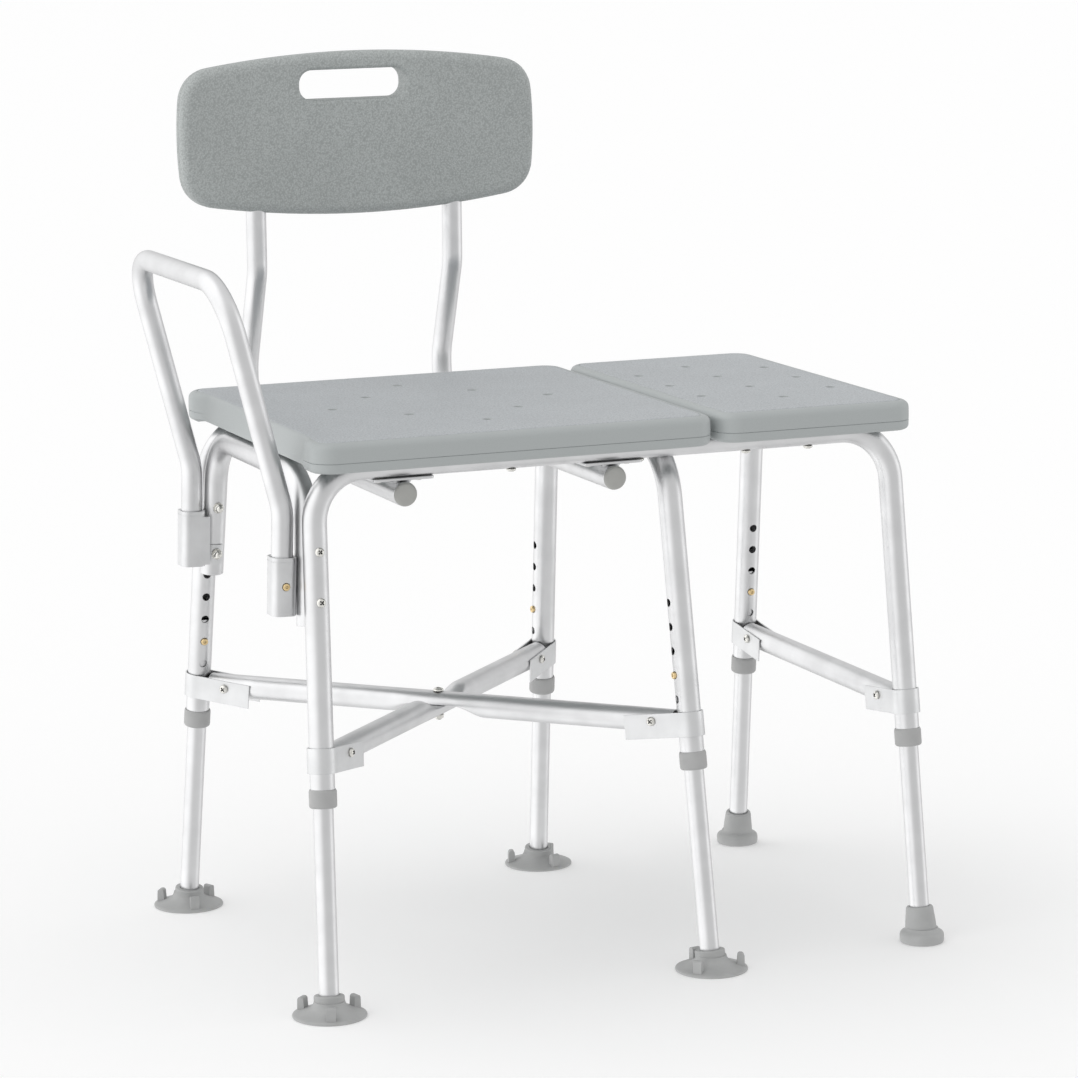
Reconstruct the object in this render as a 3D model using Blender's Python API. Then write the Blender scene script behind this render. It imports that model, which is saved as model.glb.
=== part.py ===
"""Bath transfer bench: aluminium tube frame, two moulded seats, back rest, lift-off arm rail.

Bench axes: +X runs along the bench from the arm rail to the extension seat, +Y towards the back
rest, +Z up from the floor. All sizes are in metres. The bench is first laid out with x = 0 at the
left legs and y = 0 midway between front and rear rails, and the empty "bench" then centres it.
"""
import math

import bmesh
import bpy
from mathutils import Matrix, Vector

# ---------------------------------------------------------------- driving dimensions
BENCH_SHIFT = Vector((-0.2910, -0.02785, 0.0))   # puts the bounding box's middle at x = y = 0

GAP = 0.0003                 # clearance kept between pieces that touch
SIDES = 12                   # facets round a tube
BEND_STEPS = 5               # facets along a bend

FRAME_R = 0.0127             # 25.4 mm frame tube
FRAME_WALL = 0.0016
INNER_R = 0.0103             # leg extension tube
INNER_WALL = 0.0014
SLIM_R = 0.0111              # 22.2 mm tube of the back posts and the arm rail
SLIM_WALL = 0.0013

RAIL_Z = 0.548               # rail axis above the floor
RAIL_Y = 0.1666              # rail axes at y = -RAIL_Y and +RAIL_Y
RAIL_BEND = 0.055
END_FOOT_Y = 0.235           # where the end legs' axes meet the floor
LEFT_X = (0.0, -0.0175)      # left legs: x at rail height, x at the floor
RIGHT_X = (0.6452, 0.6545)
MIDDLE_X = (0.3905, 0.4048)
MIDDLE_Y = (0.1609, 0.240)   # middle legs: y at rail height, y at the floor
MIDDLE_CROWN_Z = 0.5435
MIDDLE_BEND = 0.060

# distances up a leg's axis from the floor
BUTTON_S = 0.3118
HOLE_PITCH = 0.0254
HOLES_ABOVE = 3
HOLES_BELOW = 1
HOLE_R = 0.0043
OUTER_END_S = 0.2146
COLLAR_S = 0.2118
COLLAR_H = 0.019
BRACKET_S = 0.2600
INNER_TOP_S = 0.3358
INNER_END_S = 0.0072

SIDE_OFFSET = 0.026          # side frame's upright from its leg, axis to axis
SIDE_CROWN_Z = 0.5387
SIDE_BEND = 0.056
SIDE_END_S = 0.395
SIDE_BOLTS_S = (0.4200, 0.4710)

SEAT_BOTTOM_Z = 0.551
SEAT_TOP_Z = 0.5824
SEAT_CEILING_Z = 0.5611      # underside inside the rim, just above the rails
SEAT_RIM = 0.014
SEAT_CORNER = 0.024
MAIN_X = (-0.014, 0.424)
MAIN_Y = 0.219
EXT_X = (0.432, 0.656)
EXT_Y = 0.214
DRAIN_R = 0.0045
RECESS_HALF = 0.176          # half length of the scooped left side between the corner lobes
RECESS_LIFT_Z = 0.5543       # underside of that side, above the side frame's crown

BACK_X = 0.2156              # middle of the back rest
BACK_HALF_W = 0.2069
BACK_Z = 0.8463
BACK_HALF_H = 0.0896
BACK_Y = (0.268, 0.298)
BACK_BOW_X = 0.0055          # bow of the short sides and of the long sides
BACK_BOW_Z = 0.0185
BACK_CORNER = 0.031
SLOT_HALF_W = 0.0622
SLOT_HALF_H = 0.0164
SLOT_X = 0.2073
SLOT_Z = 0.9003
POST_X = (0.0957, 0.3266)
POST_TOP_Z = 0.868
POST_UPPER_Y = 0.283
POST_LOWER_Y = 0.322
POST_KNEE_Z = (0.590, 0.697)  # the two gentle bends between lower and upper runs
POST_INNER_Y = 0.030
RECEIVER_Z = 0.5183
RECEIVER_Y = (-0.175, 0.184)
RECEIVER_WALL = 0.0012
PLATE_LONG = 0.066
PLATE_DEEP = 0.040
PLATE_THICK = 0.003

ARM_Y = 0.150
ARM_X = -0.030               # arm tube axis half way up its socket
ARM_LEAN = 0.032             # x gained per metre of height below the knee
ARM_MID_Z = 0.430
ARM_END_Z = 0.4025
ARM_KNEE_Z = 0.507
ARM_TOP = Vector((-0.0853, 0.0, 0.738))
ARM_CORNER = 0.055
SOCKET_Z = (0.4005, 0.4603)
SOCKET_HALF_X = 0.0131
SOCKET_HALF_Y = 0.0144
ARM_BUTTON_Z = 0.431

BRACE_Z = 0.258
BRACE_WALL = 0.0013
BRACE_START = 0.0165         # brace end from the leg's axis
BRACKET_LONG = 0.068
BRACKET_H = 0.026
SHEET = 0.0015
BOLT_AT = 0.038              # brace bolt from the leg's axis
BOLT_R = 0.003
BOLT_HOLE_R = 0.0034


# ---------------------------------------------------------------- materials
def material(name, color, roughness, metallic):
    """A Principled material with one colour, roughness and metallic value."""
    mat = bpy.data.materials.new(name)
    mat.use_nodes = True
    shader = mat.node_tree.nodes["Principled BSDF"]
    shader.inputs["Base Color"].default_value = (*color, 1.0)
    shader.inputs["Roughness"].default_value = roughness
    shader.inputs["Metallic"].default_value = metallic
    mat.diffuse_color = (*color, 1.0)
    return mat


def clear_scene():
    """Remove every object, so that the bench stands alone."""
    for old in list(bpy.data.objects):
        bpy.data.objects.remove(old, do_unlink=True)


# ---------------------------------------------------------------- mesh tools
def finish_mesh(bm, name):
    """Close a bmesh into a mesh with its faces pointing out and its round sides shaded smooth."""
    bmesh.ops.recalc_face_normals(bm, faces=bm.faces)
    mesh = bpy.data.meshes.new(name)
    bm.to_mesh(mesh)
    bm.free()
    mesh.shade_smooth()
    mesh.set_sharp_from_angle(angle=math.radians(35))
    return mesh


def add_loop(bm, points):
    return [bm.verts.new(p) for p in points]


def bridge(bm, first, second):
    """Quads between two rings with the same number of vertices."""
    count = len(first)
    for i in range(count):
        j = (i + 1) % count
        bm.faces.new((first[i], first[j], second[j], second[i]))


def circle(center, across, up, radius, sides=SIDES, phase=0.0):
    turn = 2 * math.pi / sides
    angles = [(i + phase) * turn for i in range(sides)]
    return [center + radius * (math.cos(a) * across + math.sin(a) * up) for a in angles]


def rounded_path(corners, radii, steps=BEND_STEPS):
    """The corner points with each inner corner replaced by an arc of its own radius."""
    path = [Vector(corners[0])]
    for i in range(1, len(corners) - 1):
        here = Vector(corners[i])
        back = (Vector(corners[i - 1]) - here).normalized()
        ahead = (Vector(corners[i + 1]) - here).normalized()
        half = back.angle(ahead) / 2
        radius = radii[i - 1]
        middle = here + (back + ahead).normalized() * (radius / math.sin(half))
        start = here + back * (radius / math.tan(half)) - middle
        end = here + ahead * (radius / math.tan(half)) - middle
        for k in range(steps + 1):
            path.append(middle + start.normalized().slerp(end.normalized(), k / steps) * radius)
    path.append(Vector(corners[-1]))
    return path


def path_frames(path, across=Vector((1, 0, 0))):
    """(point, across, up) along a path, without twist."""
    tangents = [(b - a).normalized() for a, b in zip(path, path[1:])]
    frames = []
    for i, point in enumerate(path):
        before = tangents[max(i - 1, 0)]
        after = tangents[min(i, len(tangents) - 1)]
        tangent = (before + after).normalized()
        across = (across - tangent * across.dot(tangent)).normalized()
        frames.append((point, across.copy(), tangent.cross(across)))
    return frames


def tube_mesh(name, path, radius, wall, sides=SIDES, across=Vector((1, 0, 0)), shape=None):
    """An open-ended tube along a path. shape(ring, point, kind) may move a ring's points."""
    bm = bmesh.new()
    outer, inner = [], []
    for point, side, up in path_frames(path, across):
        for rings, size, kind in ((outer, radius, "outer"), (inner, radius - wall, "inner")):
            ring = circle(point, side, up, size, sides)
            rings.append(add_loop(bm, shape(ring, point, kind) if shape else ring))
    for rings in (outer, inner):
        for a, b in zip(rings, rings[1:]):
            bridge(bm, a, b)
    bridge(bm, outer[0], inner[0])
    bridge(bm, outer[-1], inner[-1])
    return finish_mesh(bm, name)


def turned_mesh(name, profile, sides=SIDES, ring=False):
    """A profile of (radius, height) turned about Z: a ring where it closes on itself, else capped."""
    bm = bmesh.new()
    loops = []
    for radius, height in profile:
        points = circle(Vector((0, 0, height)), Vector((1, 0, 0)), Vector((0, 1, 0)), radius, sides)
        loops.append(add_loop(bm, points))
    for a, b in zip(loops, loops[1:]):
        bridge(bm, a, b)
    if ring:
        bridge(bm, loops[-1], loops[0])
    else:
        bm.faces.new(loops[0])
        bm.faces.new(loops[-1])
    return finish_mesh(bm, name)


def prism_mesh(name, outline, low, high, axis="Z"):
    """A flat outline extruded along Z, or along Y with the outline in X and Z."""
    bm = bmesh.new()
    place = {
        "Z": lambda a, b, c: (a, b, c),
        "Y": lambda a, b, c: (a, c, b),
    }[axis]
    first = add_loop(bm, [place(a, b, low) for a, b in outline])
    second = add_loop(bm, [place(a, b, high) for a, b in outline])
    bridge(bm, first, second)
    bm.faces.new(first)
    bm.faces.new(second)
    return finish_mesh(bm, name)


def box_outline(x0, x1, y0, y1):
    return [(x0, y0), (x1, y0), (x1, y1), (x0, y1)]


def rods_mesh(name, rods, sides=SIDES):
    """Separate round rods, each (start, end, radius), used to drill a piece."""
    bm = bmesh.new()
    for start, end, radius in rods:
        axis = (end - start).normalized()
        side = axis.orthogonal().normalized()
        up = axis.cross(side)
        first = add_loop(bm, circle(start, side, up, radius, sides, 0.5))
        second = add_loop(bm, circle(end, side, up, radius, sides, 0.5))
        bridge(bm, first, second)
        bm.faces.new(first)
        bm.faces.new(second)
    return finish_mesh(bm, name)


# ---------------------------------------------------------------- scene tools
def place(name, mesh, mat, parent, at=(0, 0, 0)):
    """One named piece with its material, under its parent."""
    obj = bpy.data.objects.new(name, mesh)
    bpy.context.scene.collection.objects.link(obj)
    obj.parent = parent
    obj.location = at
    mesh.materials.clear()
    mesh.materials.append(mat)
    return obj


def frame_empty(name, parent, matrix):
    """An empty that carries a local frame, such as a leg's axis."""
    empty = bpy.data.objects.new(name, None)
    bpy.context.scene.collection.objects.link(empty)
    empty.parent = parent
    empty.matrix_local = matrix
    return empty


def combine(target, mesh, parent, operation):
    """Cut a helper shape from a piece, or join it on."""
    helper = bpy.data.objects.new("helper_" + mesh.name, mesh)
    bpy.context.scene.collection.objects.link(helper)
    helper.parent = parent
    helper.hide_render = True
    helper.display_type = "WIRE"
    modifier = target.modifiers.new(mesh.name, "BOOLEAN")
    modifier.operation = operation
    modifier.solver = "EXACT"
    modifier.object = helper
    return helper


def axes_matrix(x_axis, y_axis, z_axis, origin):
    rotation = Matrix((x_axis, y_axis, z_axis)).transposed().to_4x4()
    return Matrix.Translation(origin) @ rotation


# ---------------------------------------------------------------- legs
class Leg:
    """A leg's axis from its floor point up to rail height, and the side its holes face."""

    def __init__(self, name, foot, top, faces):
        self.name = name
        self.foot = Vector((*foot, 0.0))
        self.top = Vector((*top, RAIL_Z))
        self.up = (self.top - self.foot).normalized()
        face = Vector(faces)
        self.out = (face - self.up * face.dot(self.up)).normalized()
        self.empty = None

    def at(self, s):
        return self.foot + self.up * s

    def at_height(self, z):
        return self.foot + (self.top - self.foot) * (z / RAIL_Z)

    def matrix(self):
        return axes_matrix(self.out, self.up.cross(self.out), self.up, self.foot)


def make_legs(bench):
    """The six legs, front and rear of the left, middle and right pairs."""
    legs = {}
    pairs = (
        ("left", LEFT_X, (RAIL_Y, END_FOOT_Y), None),
        ("middle", MIDDLE_X, MIDDLE_Y, (-1, 0, 0)),
        ("right", RIGHT_X, (RAIL_Y, END_FOOT_Y), None),
    )
    for pair, xs, ys, faces in pairs:
        for row, sign in (("front", -1), ("rear", 1)):
            name = row + "_" + pair
            inward = faces or (0, -sign, 0)
            leg = Leg(name, (xs[1], sign * ys[1]), (xs[0], sign * ys[0]), inward)
            leg.empty = frame_empty("leg_axis_" + name, bench, leg.matrix())
            legs[name] = leg
    return legs


def snap_button_mesh(name, bore, reach, radius=0.0038):
    """A spring clip folded from strip, with its button, in the frame of the tube that holds it."""
    wall_x = bore * 0.83
    thick = 0.0008
    top, knee, tip = 0.006, -0.006, -0.030
    outer = [(wall_x, top), (wall_x, knee), (0.0, tip), (-wall_x, top)]
    inner = [(thick - wall_x, top), (0.0, tip + 0.0028), (wall_x - thick, knee), (wall_x - thick, top)]
    clip = prism_mesh(name, outer + inner, -0.0035, 0.0035, axis="Y")
    bm = bmesh.new()
    rings = []
    for x, size in ((wall_x - thick / 2, radius), (reach - 0.0014, radius), (reach, radius * 0.55)):
        points = circle(Vector((x, 0, 0)), Vector((0, 1, 0)), Vector((0, 0, 1)), size, 8)
        rings.append(add_loop(bm, points))
    for a, b in zip(rings, rings[1:]):
        bridge(bm, a, b)
    bm.faces.new(rings[0])
    bm.faces.new(rings[-1])
    return clip, finish_mesh(bm, name + "_pin")


def add_snap_button(name, frame, s, bore, reach, mat):
    clip, pin = snap_button_mesh(name, bore, reach)
    button = place(name, clip, mat, frame, (0, 0, s))
    helper = combine(button, pin, frame, "UNION")
    helper.location = (0, 0, s)


def suction_foot(leg, mat, bench, tab_turn):
    """A wide cup flat on the floor, a neck along the leg, and three pull tabs."""
    cup = [(0.0375, 0.0), (0.038, 0.0012), (0.030, 0.0052), (0.018, 0.0095), (0.0145, 0.0150),
           (0.0060, 0.0150), (0.0060, 0.0052), (0.031, 0.0)]
    foot = place("suction_foot_" + leg.name, turned_mesh("cup_" + leg.name, cup, 18, ring=True), mat, bench)
    foot.location = leg.foot
    neck = [(0.0155, 0.0045), (0.0158, 0.0198), (0.0148, 0.0214)]
    combine(foot, turned_mesh("neck_" + leg.name, neck), leg.empty, "UNION")
    for i in range(3):
        turn = Matrix.Rotation(tab_turn + i * 2 * math.pi / 3, 4, "Z")
        tab = prism_mesh("tab_%s_%d" % (leg.name, i), [
            (0.0262, 0.0040), (0.0340, 0.0022), (0.0335, 0.0165), (0.0272, 0.0178)], -0.0050, 0.0050, "Y")
        helper = combine(foot, tab, bench, "UNION")
        helper.matrix_local = Matrix.Translation(leg.foot) @ turn
    bore = [(INNER_R + 0.0006, INNER_END_S - GAP), (INNER_R + 0.0006, 0.040)]
    combine(foot, turned_mesh("bore_" + leg.name, bore), leg.empty, "DIFFERENCE")


def rubber_tip(leg, mat, bench):
    """A flared tip, flat on the floor, with its neck along the leg."""
    base = [(0.0225, 0.0), (0.0236, 0.0025), (0.0230, 0.0095), (0.0195, 0.0125)]
    tip = place("rubber_tip_" + leg.name, turned_mesh("base_" + leg.name, base, 16), mat, bench)
    tip.location = leg.foot
    neck = [(0.0168, 0.0050), (0.0165, 0.0140), (0.0142, 0.0370), (0.0136, 0.0385)]
    combine(tip, turned_mesh("tip_neck_" + leg.name, neck), leg.empty, "UNION")
    bore = [(INNER_R + 0.0006, INNER_END_S - GAP), (INNER_R + 0.0006, 0.050)]
    combine(tip, turned_mesh("tip_bore_" + leg.name, bore), leg.empty, "DIFFERENCE")


def leg_hardware(leg, mats):
    """The sliding inner tube, its collar and its snap button."""
    path = [Vector((0, 0, INNER_END_S)), Vector((0, 0, INNER_TOP_S))]
    tube = place("leg_extension_" + leg.name, tube_mesh("extension_" + leg.name, path, INNER_R, INNER_WALL),
                 mats["aluminium"], leg.empty)
    drill = [(Vector((0.004, 0, BUTTON_S)), Vector((0.016, 0, BUTTON_S)), 0.0042)]
    combine(tube, rods_mesh("button_hole_" + leg.name, drill, 8), leg.empty, "DIFFERENCE")
    over, through = FRAME_R + 0.0008, INNER_R + 0.00065
    collar = [(0.0142, COLLAR_H), (over, COLLAR_H), (over, 0.0025), (through, 0.0025), (through, 0.0),
              (0.0125, 0.0), (0.0142, 0.0030)]
    place("collar_" + leg.name, turned_mesh("collar_" + leg.name, collar, ring=True),
          mats["collar"], leg.empty, (0, 0, COLLAR_S))
    add_snap_button("snap_button_" + leg.name, leg.empty, BUTTON_S, INNER_R - INNER_WALL,
                    FRAME_R + 0.0025, mats["brass"])


def drill_leg(frame_tube, leg, bolts=()):
    """The five height holes on the side that faces out, and any bolt holes right through."""
    rods = []
    for k in range(-HOLES_BELOW, HOLES_ABOVE + 1):
        s = BUTTON_S + k * HOLE_PITCH
        rods.append((Vector((0.004, 0, s)), Vector((0.020, 0, s)), HOLE_R))
    for s in bolts:
        rods.append((Vector((-0.020, 0, s)), Vector((0.042, 0, s)), BOLT_HOLE_R))
    combine(frame_tube, rods_mesh("holes_" + leg.name, rods, 8), leg.empty, "DIFFERENCE")


# ---------------------------------------------------------------- frame
def long_frames(legs, mat, bench):
    """Front and rear frames: left leg, rail and right leg bent from one tube."""
    for row in ("front", "rear"):
        left, right = legs[row + "_left"], legs[row + "_right"]
        path = rounded_path([left.at(OUTER_END_S), left.top, right.top, right.at(OUTER_END_S)],
                            (RAIL_BEND, RAIL_BEND))
        name = row + "_frame_tube"
        tube = place(name, tube_mesh(name, path, FRAME_R, FRAME_WALL, across=left.out), mat, bench)
        drill_leg(tube, left, SIDE_BOLTS_S)
        drill_leg(tube, right)


def middle_frame(legs, mat, bench):
    """The middle pair of legs, bent from one tube that passes between the rails."""
    front, rear = legs["front_middle"], legs["rear_middle"]
    path = rounded_path([front.at(OUTER_END_S), front.at_height(MIDDLE_CROWN_Z),
                         rear.at_height(MIDDLE_CROWN_Z), rear.at(OUTER_END_S)], (MIDDLE_BEND, MIDDLE_BEND))
    tube = place("middle_frame_tube", tube_mesh("middle_frame_tube", path, FRAME_R, FRAME_WALL), mat, bench)
    drill_leg(tube, front)
    drill_leg(tube, rear)


def side_point(leg, s):
    """A point on the side frame's upright, beside its leg."""
    return leg.at(s) + leg.out * SIDE_OFFSET


def side_frame(legs, mat, bench):
    """The short frame inside the left legs that carries the arm rail."""
    front, rear = legs["front_left"], legs["rear_left"]
    crown = []
    for leg in (front, rear):
        start = side_point(leg, 0.0)
        crown.append(start + leg.up * ((SIDE_CROWN_Z - start.z) / leg.up.z))
    path = rounded_path([side_point(front, SIDE_END_S), crown[0], crown[1], side_point(rear, SIDE_END_S)],
                        (SIDE_BEND, SIDE_BEND))
    tube = place("side_frame_tube", tube_mesh("side_frame_tube", path, FRAME_R, FRAME_WALL), mat, bench)
    for leg in (front, rear):
        rods = [(Vector((0.008, 0, s)), Vector((0.046, 0, s)), BOLT_HOLE_R) for s in SIDE_BOLTS_S]
        combine(tube, rods_mesh("side_holes_" + leg.name, rods, 8), leg.empty, "DIFFERENCE")


def bolt_mesh(name, grip, nut=True, radius=BOLT_R):
    """A pan-head screw along +Z: underside of the head at z = 0, nut seated at z = grip."""
    head, across = radius * 1.85, radius * 1.85
    sections = [(-0.0034, head * 0.62, False), (-0.0020, head, False), (0.0, head, False),
                (0.0, radius, False), (grip, radius, False)]
    if nut:
        sections += [(grip, across, True), (grip + 0.0045, across, True)]
    bm = bmesh.new()
    loops = []
    for z, size, hexagon in sections:
        points = []
        for i in range(12):
            flat = math.cos(math.pi / 6) if hexagon and i % 2 else 1.0
            angle = i * math.pi / 6
            points.append(Vector((size * flat * math.cos(angle), size * flat * math.sin(angle), z)))
        loops.append(add_loop(bm, points))
    for a, b in zip(loops, loops[1:]):
        bridge(bm, a, b)
    bm.faces.new(loops[0])
    bm.faces.new(loops[-1])
    return finish_mesh(bm, name)


def bolt_along(name, start, direction, grip, mat, parent):
    """A bolt whose head sits at start and whose nut is grip further along."""
    side = direction.orthogonal().normalized()
    bolt = place(name, bolt_mesh(name, grip), mat, parent)
    bolt.matrix_local = axes_matrix(side, direction.cross(side), direction, start)


def side_bolts(legs, mat):
    """Two bolts through each left leg and the upright beside it."""
    for leg in (legs["front_left"], legs["rear_left"]):
        for label, s in zip(("lower", "upper"), SIDE_BOLTS_S):
            wrap = SHEET + GAP + 0.0004 if label == "lower" else 0.0
            start = Vector((-FRAME_R - GAP, 0, s))
            grip = FRAME_R + GAP + SIDE_OFFSET + FRAME_R + GAP + wrap
            name = "side_bolt_%s_%s" % (label, leg.name)
            bolt_along(name, start, Vector((1, 0, 0)), grip, mat, leg.empty)


# ---------------------------------------------------------------- braces
BRACES = (
    # name, from leg, to leg, which face is pressed flat where it crosses the other
    ("cross_brace_upper", "rear_left", "front_middle", "below"),
    ("cross_brace_lower", "front_left", "rear_middle", "above"),
    ("end_brace", "rear_right", "front_right", None),
)


def pressed(ring, point, kind, middle, face):
    """Press one half of a brace flat near the crossing, and let it spread a little."""
    reach = (point - middle).length
    amount = max(0.0, min(1.0, (0.055 - reach) / 0.038))
    amount = amount * amount * (3 - 2 * amount)
    sign = 1 if face == "below" else -1
    flat = sign * (GAP if kind == "outer" else GAP + BRACE_WALL)
    moved = []
    for p in ring:
        offset = p - point
        height = offset.z
        if height * sign < flat * sign:
            height += (flat - height) * amount
        spread = 1 + 0.10 * amount
        moved.append(point + Vector((offset.x * spread, offset.y * spread, height)))
    return moved


def brace_path(start, end, middle, crossed):
    along = (end - start).normalized()
    path = [start + along * BRACE_START]
    if crossed:
        path += [middle + along * t for t in (-0.056, -0.042, -0.030, -0.017, 0.017, 0.030, 0.042, 0.056)]
    path.append(end - along * BRACE_START)
    return path


def braces(legs, mats, bench):
    """The crossed pair, the end brace, and the folded bracket at each end."""
    for name, first, second, face in BRACES:
        ends = [legs[first].at_height(BRACE_Z), legs[second].at_height(BRACE_Z)]
        middle = (ends[0] + ends[1]) / 2
        along = (ends[1] - ends[0]).normalized()
        shape = None
        if face:
            def shape(ring, point, kind, middle=middle, face=face):
                return pressed(ring, point, kind, middle, face)
        mesh = tube_mesh(name, brace_path(ends[0], ends[1], middle, face), FRAME_R, BRACE_WALL,
                         across=Vector((0, 0, 1)), shape=shape)
        brace = place(name, mesh, mats["aluminium"], bench)
        if face:
            rod = [(middle - Vector((0, 0, 0.02)), middle + Vector((0, 0, 0.02)), BOLT_HOLE_R)]
            combine(brace, rods_mesh("crossing_hole_" + name, rod, 8), bench, "DIFFERENCE")
        for leg_name, direction in ((first, along), (second, -along)):
            brace_bracket(legs[leg_name], direction, brace, mats, bench, name != "end_brace")
    crossing = (legs["front_left"].at_height(BRACE_Z) + legs["rear_middle"].at_height(BRACE_Z)) / 2
    top = crossing + Vector((0, 0, FRAME_R + GAP))
    bolt_along("cross_bolt", top, Vector((0, 0, -1)), 2 * (FRAME_R + GAP), mats["steel"], bench)


def bracket_outline():
    """A strap round the leg with two straight flanges, seen along the leg."""
    inner = FRAME_R + 0.0008
    outer = inner + SHEET
    flange_in = FRAME_R + GAP
    flange_out = flange_in + SHEET
    outline = [(BRACKET_LONG, -flange_in), (0.006, -flange_in)]
    steps = 8
    for radius, order in ((inner, range(steps + 1)), (outer, range(steps, -1, -1))):
        for k in order:
            angle = -math.pi / 2 - math.pi * k / steps
            outline.append((radius * math.cos(angle), radius * math.sin(angle)))
        if radius == inner:
            outline += [(0.006, flange_in), (BRACKET_LONG, flange_in),
                        (BRACKET_LONG, flange_out), (0.006, flange_out)]
    outline += [(0.006, -flange_out), (BRACKET_LONG, -flange_out)]
    return outline


def brace_bracket(leg, direction, brace, mats, bench, bolted):
    """A bracket square to its leg, with the brace between its flanges."""
    normal = leg.up.cross(direction).normalized()
    outward = normal.cross(leg.up)
    origin = leg.at(BRACKET_S)
    frame = frame_empty("bracket_axis_" + leg.name, bench, axes_matrix(outward, normal, leg.up, origin))
    name = "brace_bracket_" + leg.name
    half = BRACKET_H / 2
    bracket = place(name, prism_mesh(name, bracket_outline(), -half, half), mats["aluminium"], frame)
    center = leg.at_height(BRACE_Z) + direction * BOLT_AT
    local = axes_matrix(outward, normal, leg.up, origin).inverted() @ center
    rod = [(local - Vector((0, 0.022, 0)), local + Vector((0, 0.022, 0)), BOLT_HOLE_R)]
    combine(bracket, rods_mesh("bracket_hole_" + leg.name, rod, 8), frame, "DIFFERENCE")
    combine(brace, rods_mesh("brace_hole_" + leg.name, rod, 8), frame, "DIFFERENCE")
    if bolted:
        grip = 2 * (FRAME_R + GAP + SHEET + GAP)
        side = -1 if (normal.y > 0) else 1
        start = local + Vector((0, side * grip / 2, 0))
        bolt_along("brace_bolt_" + leg.name, start, Vector((0, -side, 0)), grip, mats["steel"], frame)


# ---------------------------------------------------------------- seats
def seat_outline(x_range, half_y, inset, recess_x=None):
    """The rounded outline of a seat, anticlockwise, moved in by inset; recess_x scoops the left side."""
    x0, x1 = x_range[0] + inset, x_range[1] - inset
    y1 = half_y - inset
    radius = max(SEAT_CORNER - inset, 0.006)
    outline = []
    for cx, cy, start in ((x1 - radius, -y1 + radius, -90), (x1 - radius, y1 - radius, 0),
                          (x0 + radius, y1 - radius, 90)):
        for k in range(5):
            angle = math.radians(start + 22.5 * k)
            outline.append((cx + radius * math.cos(angle), cy + radius * math.sin(angle)))
    if recess_x is not None:
        inner = RECESS_HALF - 0.014
        outline += [(x0, RECESS_HALF), (recess_x, inner), (recess_x, -inner), (x0, -RECESS_HALF)]
    for k in range(5):
        angle = math.radians(180 + 22.5 * k)
        outline.append((x0 + radius + radius * math.cos(angle), -y1 + radius + radius * math.sin(angle)))
    return outline


def seat_ring(bm, x_range, half_y, z, inset, recess_x):
    """One level of a seat; the scooped side's underside is lifted over the side frame."""
    points = []
    for x, y in seat_outline(x_range, half_y, inset, recess_x):
        lifted = recess_x is not None and x < 0.010 and abs(y) < RECESS_HALF - 0.010
        points.append((x, y, max(z, RECESS_LIFT_Z) if lifted else z))
    return add_loop(bm, points)


def seat_mesh(name, x_range, half_y, scooped):
    """A moulded seat: rounded side wall, flat top, and a rim that hangs round the underside."""
    levels = (
        # height, inset, where the scooped left side stands
        (SEAT_BOTTOM_Z, 0.0045, -0.0072), (SEAT_BOTTOM_Z + 0.005, 0.0, -0.0095),
        (SEAT_TOP_Z - 0.0080, 0.0, -0.0054), (SEAT_TOP_Z - 0.0022, 0.0028, -0.0036),
        (SEAT_TOP_Z, 0.0086, -0.0018),
    )
    bm = bmesh.new()
    loops = [seat_ring(bm, x_range, half_y, z, inset, recess if scooped else None)
             for z, inset, recess in levels]
    pocket = [seat_ring(bm, x_range, half_y, z, SEAT_RIM, 0.0001 if scooped else None)
              for z in (SEAT_CEILING_Z, SEAT_BOTTOM_Z)]
    for a, b in zip(loops, loops[1:]):
        bridge(bm, a, b)
    bm.faces.new(loops[-1])
    bridge(bm, pocket[0], pocket[1])
    bridge(bm, pocket[1], loops[0])
    bm.faces.new(pocket[0])
    return finish_mesh(bm, name)


def main_drains():
    """Eight holes on a diagonal grid with its centre left out."""
    middle = (0.203, 0.0)
    step_x, step_y = 0.061, 0.0665
    spots = []
    for i in (-1, 0, 1):
        for j in (-1, 0, 1):
            if i or j:
                spots.append((middle[0] + (i + j) * step_x, middle[1] + (i - j) * step_y))
    return spots


def extension_drains():
    """Ten holes in three staggered columns."""
    spots = []
    for x, count in ((0.467, 3), (0.543, 4), (0.619, 3)):
        for k in range(count):
            spots.append((x, (k - (count - 1) / 2) * 0.084))
    return spots


def seats(mat, bench):
    """Both seats, with drain holes and the notches that clear the rails."""
    low, high = SEAT_BOTTOM_Z - 0.012, SEAT_TOP_Z + 0.01
    jobs = (("main_seat", MAIN_X, MAIN_Y, True, main_drains(), (0.395, 0.440)),
            ("extension_seat", EXT_X, EXT_Y, False, extension_drains(), (0.420, 0.460)))
    for name, x_range, half_y, scooped, spots, notch in jobs:
        seat = place(name, seat_mesh(name, x_range, half_y, scooped), mat, bench)
        rods = [(Vector((x, y, low)), Vector((x, y, high)), DRAIN_R) for x, y in spots]
        combine(seat, rods_mesh("drains_" + name, rods, 8), bench, "DIFFERENCE")
        for row, sign in (("front", -1), ("rear", 1)):
            half = FRAME_R + 0.001
            outline = box_outline(notch[0], notch[1], sign * RAIL_Y - half, sign * RAIL_Y + half)
            cut = prism_mesh("notch_%s_%s" % (row, name), outline, low, SEAT_CEILING_Z)
            combine(seat, cut, bench, "DIFFERENCE")


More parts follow.
